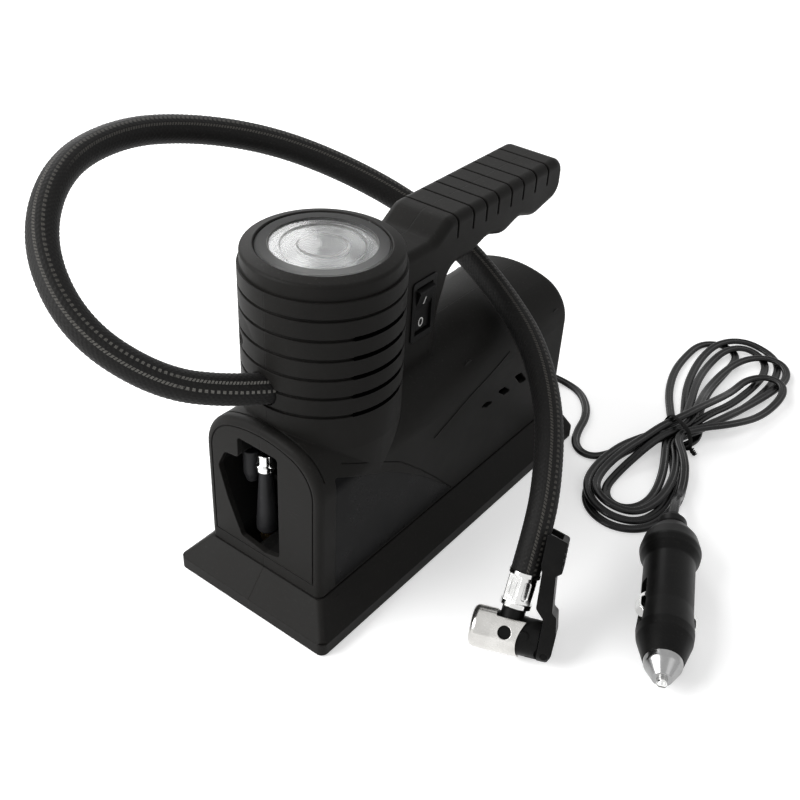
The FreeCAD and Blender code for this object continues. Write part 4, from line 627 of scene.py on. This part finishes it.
# Power cord: out of the grip, along the floor, the tied hank and the tail to the plug
cordShape = {
    "route": [
        (0, 154, 9), (0, 164.5, 9), (3.5, 173.5, 5), (13, 178.5, 1.1), (24, 175.5, 1.1), (32.5, 167, 1.1),
        (37.5, 157, 1.1), (39.5, 146.5, 1.1), (43, 137, 1.1), (49, 131.8, 1.1), (56, 132.8, 1.1), (61, 141, 1.1),
        (65.5, 153.5, 1.1), (71.4, 169.3, 1.8), (75.2, 178.5, 1.8), (68, 190, 1.1), (58.5, 207, 1.1),
        (52, 227, 1.1), (50.3, 245, 1.1), (50.8, 260.5, 1.1), (57.5, 268.3, 1.1), (67, 268.3, 1.1),
        (73.4, 260.5, 1.1), (73.8, 241, 1.1), (74.5, 219, 1.1), (79.5, 198, 1.1), (89.3, 178.1, 1.8),
        (83.6, 164.2, 1.8), (93, 151.5, 1.1), (100.5, 137, 1.1), (103, 119, 1.1), (99.5, 103, 1.1),
        (88.5, 94.6, 1.1), (75.5, 96.2, 1.1), (66.5, 105.5, 1.1), (63.5, 120, 1.1), (64.5, 138, 2.6),
        (69.5, 154.5, 2.7), (75.1, 166.7, 2.5), (80.4, 179.6, 1.8), (71, 200, 1.1), (62.5, 221, 1.1),
        (57.5, 248, 1.8), (59.5, 267, 3.4), (69, 278.8, 3), (83, 279.6, 1.1), (93, 271, 1.1), (97, 256.5, 1.1),
        (97.5, 240, 1.1), (94.5, 215, 1.1), (88.5, 193, 3.4), (84.5, 177.9, 3.4), (79.2, 165, 2.9), (87, 154, 3),
        (95.5, 138.5, 2.5), (98.8, 120.5, 1.1), (95.3, 105, 1.2), (84.5, 98, 3.2), (72.5, 101, 3.4),
        (63.8, 111, 3.4), (61, 125.5, 3.4), (63, 143, 4.9), (68, 157, 5), (73.1, 167.5, 4.8), (78.4, 180.5, 4.1),
        (74, 199, 3.4), (67, 221, 3.1), (63.5, 245, 1.2), (65.3, 262, 3.4), (72.3, 271.5, 3.4), (82.3, 271.8, 1.6),
        (89.3, 263, 1.1), (91.5, 246, 1.1), (89, 218, 1.5), (85, 196, 5.5), (82.5, 178.8, 5.6), (77.1, 165.8, 4.8),
        (82.5, 154, 4.9), (88, 141, 3.3), (91.3, 127, 1.1), (90.3, 115.5, 1.1), (84.8, 108.6, 1.1),
        (77, 108.6, 1.1), (71.5, 115.5, 1.1), (70.5, 127, 1.1), (72, 141, 3.6), (74.5, 155, 6.4),
        (77.1, 165.8, 7.1), (82.5, 178.8, 7.9), (78, 200, 7.4), (73.8, 222, 3.4), (74, 245, 3.4), (77.8, 261, 3.4),
        (86.3, 270, 3.4), (96, 269.2, 3.4), (102.3, 259.5, 2.7), (101.8, 243, 3.3), (96.5, 218, 3.4),
        (92, 197, 5.7), (86.5, 177.1, 5.7), (81.2, 164.1, 6.1), (89.5, 151.5, 6.1), (95, 136.5, 4.8),
        (95.8, 120, 3.4), (91, 107, 2.9), (80, 102.3, 5.1), (69.3, 108, 5.2), (65.6, 121.5, 4.8), (67, 139, 6.4),
        (70.5, 155.5, 7.3), (73.1, 167.5, 8.7), (78.4, 180.5, 10.2), (81.5, 193, 10.1), (84.5, 211, 7.3),
        (85.2, 227, 3.4), (86.5, 240.5, 4.1), (93.3, 249, 4.9), (102.8, 248, 5.8), (108, 237.5, 5.3),
        (106, 215, 3.7), (99, 193.5, 7.5), (86.9, 178, 8), (81.6, 165.1, 8.4), (92.5, 152, 8.4),
        (98.3, 141.5, 6.3), (102, 129.5, 3.6), (104.5, 116.5, 12.9), (109, 104, 13.46),
    ],
    "length": 1.93,
    "resolution": 12,
    "rows": 1800,
    "columns": 24,
    "coreRadius": 1.075,
    "coreOffset": 1.03,
    "web": 0.46,
}


# Outline of two round cores joined by a web, as (across, height) in mm: the height at each place across is
# that of the nearer core's circle, or the web's where the circles dip below it.
def twinSection(settings, columns):
    angle = np.linspace(0.0, 2 * math.pi, columns, endpoint=False)
    offset, radius = settings["coreOffset"], settings["coreRadius"]
    across = (offset + radius) * np.cos(angle)
    height = np.sqrt(np.maximum(0.0, radius ** 2 - (np.abs(across) - offset) ** 2))
    height = np.where(np.abs(across) < offset, np.maximum(height, settings["web"]), height)
    return across, height * np.sign(np.round(np.sin(angle), 9))


# Level side and lift at each point of a lead that lies flat.
def levelFrames(line):
    tangent = tangents(line)
    side = unitRows(np.cross([0.0, 0.0, 1.0], tangent))
    return side, np.cross(tangent, side)


# Tube of one outline in mm along a line: each ring is the outline laid on the side and lift there, turned
# by an angle that may grow along the line.
def sweptPiece(name, line, side, lift, across, height, turn=0.0):
    turned = np.full(len(line), turn)[:, None, None]
    cosine, sine = np.cos(turned), np.sin(turned)
    a = across[None, :, None] * mm
    h = height[None, :, None] * mm
    rings = line[:, None, :] + side[:, None, :] * (a * cosine - h * sine) + lift[:, None, :] * (a * sine + h * cosine)
    return gridPiece(name, rings, np.linspace(0.0, 1.0, len(line)), np.linspace(0.0, 1.0, len(across) + 1))


def buildPowerCord(settings):
    route = routeLine("powerCord", lateralPoints(settings["route"]), settings["resolution"])
    line, travelled = evenLine(route, settings["rows"])
    side, lift = levelFrames(line)
    across, height = twinSection(settings, settings["columns"])
    piece = sweptPiece("powerCordRun", line, side, lift, across, height)
    piece.data.materials.append(finishes["cordCover"])
    print("power cord:", len(settings["route"]), "points,", round(float(travelled[-1]), 3), "m")
    return piece, line


tieShape = {
    "middle": (79.8, 172.3),
    "along": (0.383, 0.924),
    "loop": [(9.8, 1.6), (9.8, 3.4), (8.6, 7.0), (6.6, 10.2), (2.2, 11.4), (-2.2, 11.8), (-6.6, 11.9), (-8.6, 8.0),
             (-9.9, 3.4), (-9.8, 0.42), (-4.5, 0.42), (4.5, 0.42), (9.8, 0.42), (9.95, 2.2)],
    "twist": [(9.6, 0.0, 2.4), (11.0, 0.2, 2.3), (12.6, -0.8, 2.0), (14.4, -0.4, 1.7)],
    "resolution": 12,
    "wide": 1.25,
    "thick": 0.34,
    "turns": 2.0,
    "coreRadius": 0.68,
    "coreOffset": 0.62,
    "web": 0.4,
}


# Points given across, along and above the waist of the hank, as metres in the frame.
def tiePoints(settings, points):
    along = np.array(settings["along"])
    across = np.array([along[1], -along[0]])
    table = [(*(np.array(settings["middle"]) + across * a + along * b), c) for a, b, c in points]
    return lateralPoints(table)


# A flat wire tie round the waist of the hank, with its two ends twisted together.
def buildCordTie(settings):
    loop = tiePoints(settings, [(a, 0.0, c) for a, c in settings["loop"]])
    line = evenLine(routeLine("cordTie", loop, settings["resolution"]), 160)[0]
    side = np.tile(np.array([*settings["along"], 0.0]), (len(line), 1))
    angle = np.linspace(0.0, 2 * math.pi, 16, endpoint=False)
    band = sweptPiece("cordTieBand", line, side, np.cross(tangents(line), side), settings["wide"] * np.cos(angle),
                      settings["thick"] * np.sin(angle))
    ends = tiePoints(settings, settings["twist"])
    line = evenLine(routeLine("cordTieTwist", ends, settings["resolution"]), 60)[0]
    turn = np.linspace(0.0, 2 * math.pi * settings["turns"], len(line))
    twist = sweptPiece("cordTieTwist", line, *levelFrames(line), *twinSection(settings, 20), turn)
    for piece in (band, twist):
        piece.data.materials.append(finishes["rubber"])
    return [band, twist]


cordPiece, cordLine = buildPowerCord(cordShape)
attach(cordPiece, "housing")
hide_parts("power_cord", "cord_hank", "cord_tail")
tiePieces = buildCordTie(tieShape)
for tiePiece in tiePieces:
    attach(tiePiece, "housing")
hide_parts("cord_tie")
print("power cord laid")


# Painted shade for the hollow behind a slot: near black with a trace of grey where dust lies, and no gloss.
def slotShadeFinish():
    material, tree = blankMaterial("slotShadeBlack")
    mottle = grainNode(tree, objectVector(tree), 900.0, 120.0)["Mottle"]
    tone = mixColour(tree, mottle, (0.0004, 0.0004, 0.0004), (0.0010, 0.0010, 0.0010))
    closeMaterial(tree, {"Base Color": tone, "Roughness": 0.9, "Specular IOR Level": 0.0})
    return material


finishes["slotShadeBlack"] = slotShadeFinish()

# Painted shade: dark faces over the open slots of the tower's rings, on its right side, standing for the unlit hollows
# behind them
paintedSlotShades = {
    "radius": 29.98,
    "shelf": 132.4,
    "pitch": 7.88,
    "rings": [1, 2, 3, 4, 5],
    "turn": (-29.0, 21.0),
    "tall": 0.92,
    "thick": 0.10,
    "endSteps": 1.5,
    "endHeight": 0.35,
}


# Each face is a flat ellipse carried along an arc round the tower, and loses height at its two ends.
def buildPaintedSlotShades(settings):
    turn = np.radians(np.linspace(*settings["turn"], 40))
    fromEnd = np.minimum(np.arange(len(turn)), np.arange(len(turn))[::-1])
    ends = np.clip(fromEnd / settings["endSteps"] + settings["endHeight"], 0.0, 1.0)[:, None]
    angle = np.linspace(0.0, 2 * math.pi, 12, endpoint=False)
    across, height = settings["thick"] * np.cos(angle), settings["tall"] * np.sin(angle)
    for ring in settings["rings"]:
        level = np.full(len(turn), settings["shelf"] - settings["pitch"] * ring)
        arc = [settings["radius"] * np.cos(turn), settings["radius"] * np.sin(turn), level]
        line = lateralPoints(np.stack(arc, axis=1))
        side, lift = levelFrames(line)
        # Each painted shade face lies just proud of the tower over one ring groove.
        piece = sweptPiece(f"paintedSlotShade{ring}", line, side, lift * ends, across, height)
        piece.data.materials.append(finishes["slotShadeBlack"])
        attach(piece, "housing")


buildPaintedSlotShades(paintedSlotShades)
print("ring slots darkened")

# Printed marks on the switch, drawn in the plane of each half of the rocker
switchMarks = {
    "upper": {"centre": (15.23, -7.10, 110.6), "foot": (15.23, 111.84), "normal": (0.955, -0.296), "wide": 0.34,
              "tall": 1.9, "corner": 1.6},
    "lower": {"centre": (13.50, -7.10, 100.4), "foot": (13.50, 100.89), "normal": (1.000, -0.014), "wide": 1.5,
              "tall": 2.0, "stroke": 0.5},
    "lift": 0.03,
    "thickness": 0.03,
}


# Points on one half of the rocker: across runs along Y, upwards along the half's own slope.
def onHalf(half, across, upwards, lift):
    normal = np.array([half["normal"][0], 0.0, half["normal"][1]])
    slope = np.array([-normal[2], 0.0, normal[0]])
    foot = np.array([half["foot"][0], half["centre"][1], half["foot"][1]])
    rise = (half["centre"][2] - foot[2]) / slope[2]
    sideways = np.array([0.0, 1.0, 0.0]) * across[..., None]
    return (foot + slope * (rise + upwards[..., None]) + sideways + normal * lift) * mm


# Thin closed plate between two loops of points; an inner loop shrunk to a line fills the middle.
def plateFromLoops(name, outer, inner, normal, thickness):
    count = len(outer)
    shift = np.array([normal[0], 0.0, normal[1]]) * thickness * mm
    vertices = np.concatenate([outer, inner, inner - shift, outer - shift])
    k = np.arange(count)
    following = (k + 1) % count
    quads = [np.stack([a * count + k, a * count + following, b * count + following, b * count + k], axis=-1)
             for a, b in ((0, 1), (1, 2), (2, 3), (3, 0))]
    mesh = bpy.data.meshes.new(name)
    mesh.from_pydata(vertices.tolist(), [], np.concatenate(quads).tolist())
    mesh.update()
    return addObject(name, mesh)


# The O is an ellipse with a smaller one cut out; the I is a circle cut to a bar by clipping both ways.
def buildSwitchMarks(settings):
    angle = np.linspace(0.0, 2 * math.pi, 48, endpoint=False)
    lift, thickness = settings["lift"], settings["thickness"]
    lower, upper = settings["lower"], settings["upper"]
    loops = [onHalf(lower, (lower["wide"] - shrink) * np.cos(angle), (lower["tall"] - shrink) * np.sin(angle), lift)
             for shrink in (0.0, lower["stroke"])]
    offMark = plateFromLoops("offMark", *loops, lower["normal"], thickness)
    across = np.clip(upper["corner"] * np.cos(angle), -1.0, 1.0) * upper["wide"]
    upwards = np.clip(upper["corner"] * np.sin(angle), -1.0, 1.0) * upper["tall"]
    loops = [onHalf(upper, across, upwards, lift), onHalf(upper, across * 0.02, upwards * 0.8, lift)]
    onMark = plateFromLoops("onMark", *loops, upper["normal"], thickness)
    for piece in (offMark, onMark):
        piece.data.materials.append(finishes["switchMark"])
        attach(piece, "rocker_body")


buildSwitchMarks(switchMarks)
print("switch marked")

# Floor, sky and lamps
stageSettings = {
    "floorReach": 4.0,
    "floorColour": (0.78, 0.78, 0.78),
    "floorDrift": 0.01,
    "floorLift": 0.46,
    "skyStrength": 0.46,
    "lamps": [
        {"name": "keySoftbox", "place": (-0.52, -0.76, 0.64), "aim": (0.0, 0.0, 0.07), "size": 0.9, "power": 16.5},
        {"name": "rightSoftbox", "place": (0.9, -0.2, 0.65), "aim": (0.0, 0.0, 0.07), "size": 0.7, "power": 0.9},
        {"name": "backSoftbox", "place": (-0.92, 0.42, 0.66), "aim": (0.0, 0.0, 0.1), "size": 0.8, "power": 7.0},
    ],
}


def buildFloor(settings):
    reach = settings["floorReach"]
    mesh = bpy.data.meshes.new("floorSheet")
    mesh.from_pydata([(-reach, -reach, 0.0), (reach, -reach, 0.0), (reach, reach, 0.0), (-reach, reach, 0.0)], [],
                     [(0, 1, 2, 3)])
    floor = addObject("floorSheet", mesh)
    material, tree = blankMaterial("floorPaper")
    mottle = grainNode(tree, objectVector(tree), 900.0, 3.0)["Mottle"]
    paler = tuple(v + settings["floorDrift"] for v in settings["floorColour"])
    matte = put(tree, "ShaderNodeBsdfDiffuse", {"Color": mixColour(tree, mottle, settings["floorColour"], paler)})
    lift = put(tree, "ShaderNodeEmission", {"Strength": productNode(tree, backdropRays(tree), settings["floorLift"])})
    both = put(tree, "ShaderNodeAddShader", {0: matte.outputs[0], 1: lift.outputs[0]})
    put(tree, "ShaderNodeOutputMaterial", {"Surface": both.outputs[0]})
    mesh.materials.append(material)


def buildSky(settings):
    world = bpy.data.worlds.new("studioSky")
    bpy.context.scene.world = world
    world.use_nodes = True
    tree = world.node_tree
    tree.nodes.clear()
    shown = productNode(tree, backdropRays(tree), 1.0 - settings["skyStrength"])
    strength = mathNode(tree, "ADD", settings["skyStrength"], shown)
    sky = put(tree, "ShaderNodeBackground", {"Color": (1.0, 1.0, 1.0, 1.0), "Strength": strength})
    put(tree, "ShaderNodeOutputWorld", {"Surface": sky.outputs[0]})


# A round area lamp that faces its aim
def buildLamp(name, place, aim, size, power):
    data = bpy.data.lights.new(name, "AREA")
    data.shape = "DISK"
    data.size = size
    data.energy = power
    back = np.array(place) - np.array(aim)
    back /= np.linalg.norm(back)
    right = np.cross((0.0, 0.0, 1.0), back)
    right /= np.linalg.norm(right)
    addObject(name, data).matrix_world = placedAxes(place, right, np.cross(back, right), back)


buildFloor(stageSettings)
buildSky(stageSettings)
for lamp in stageSettings["lamps"]:
    buildLamp(**lamp)
print("stage and lamps built")
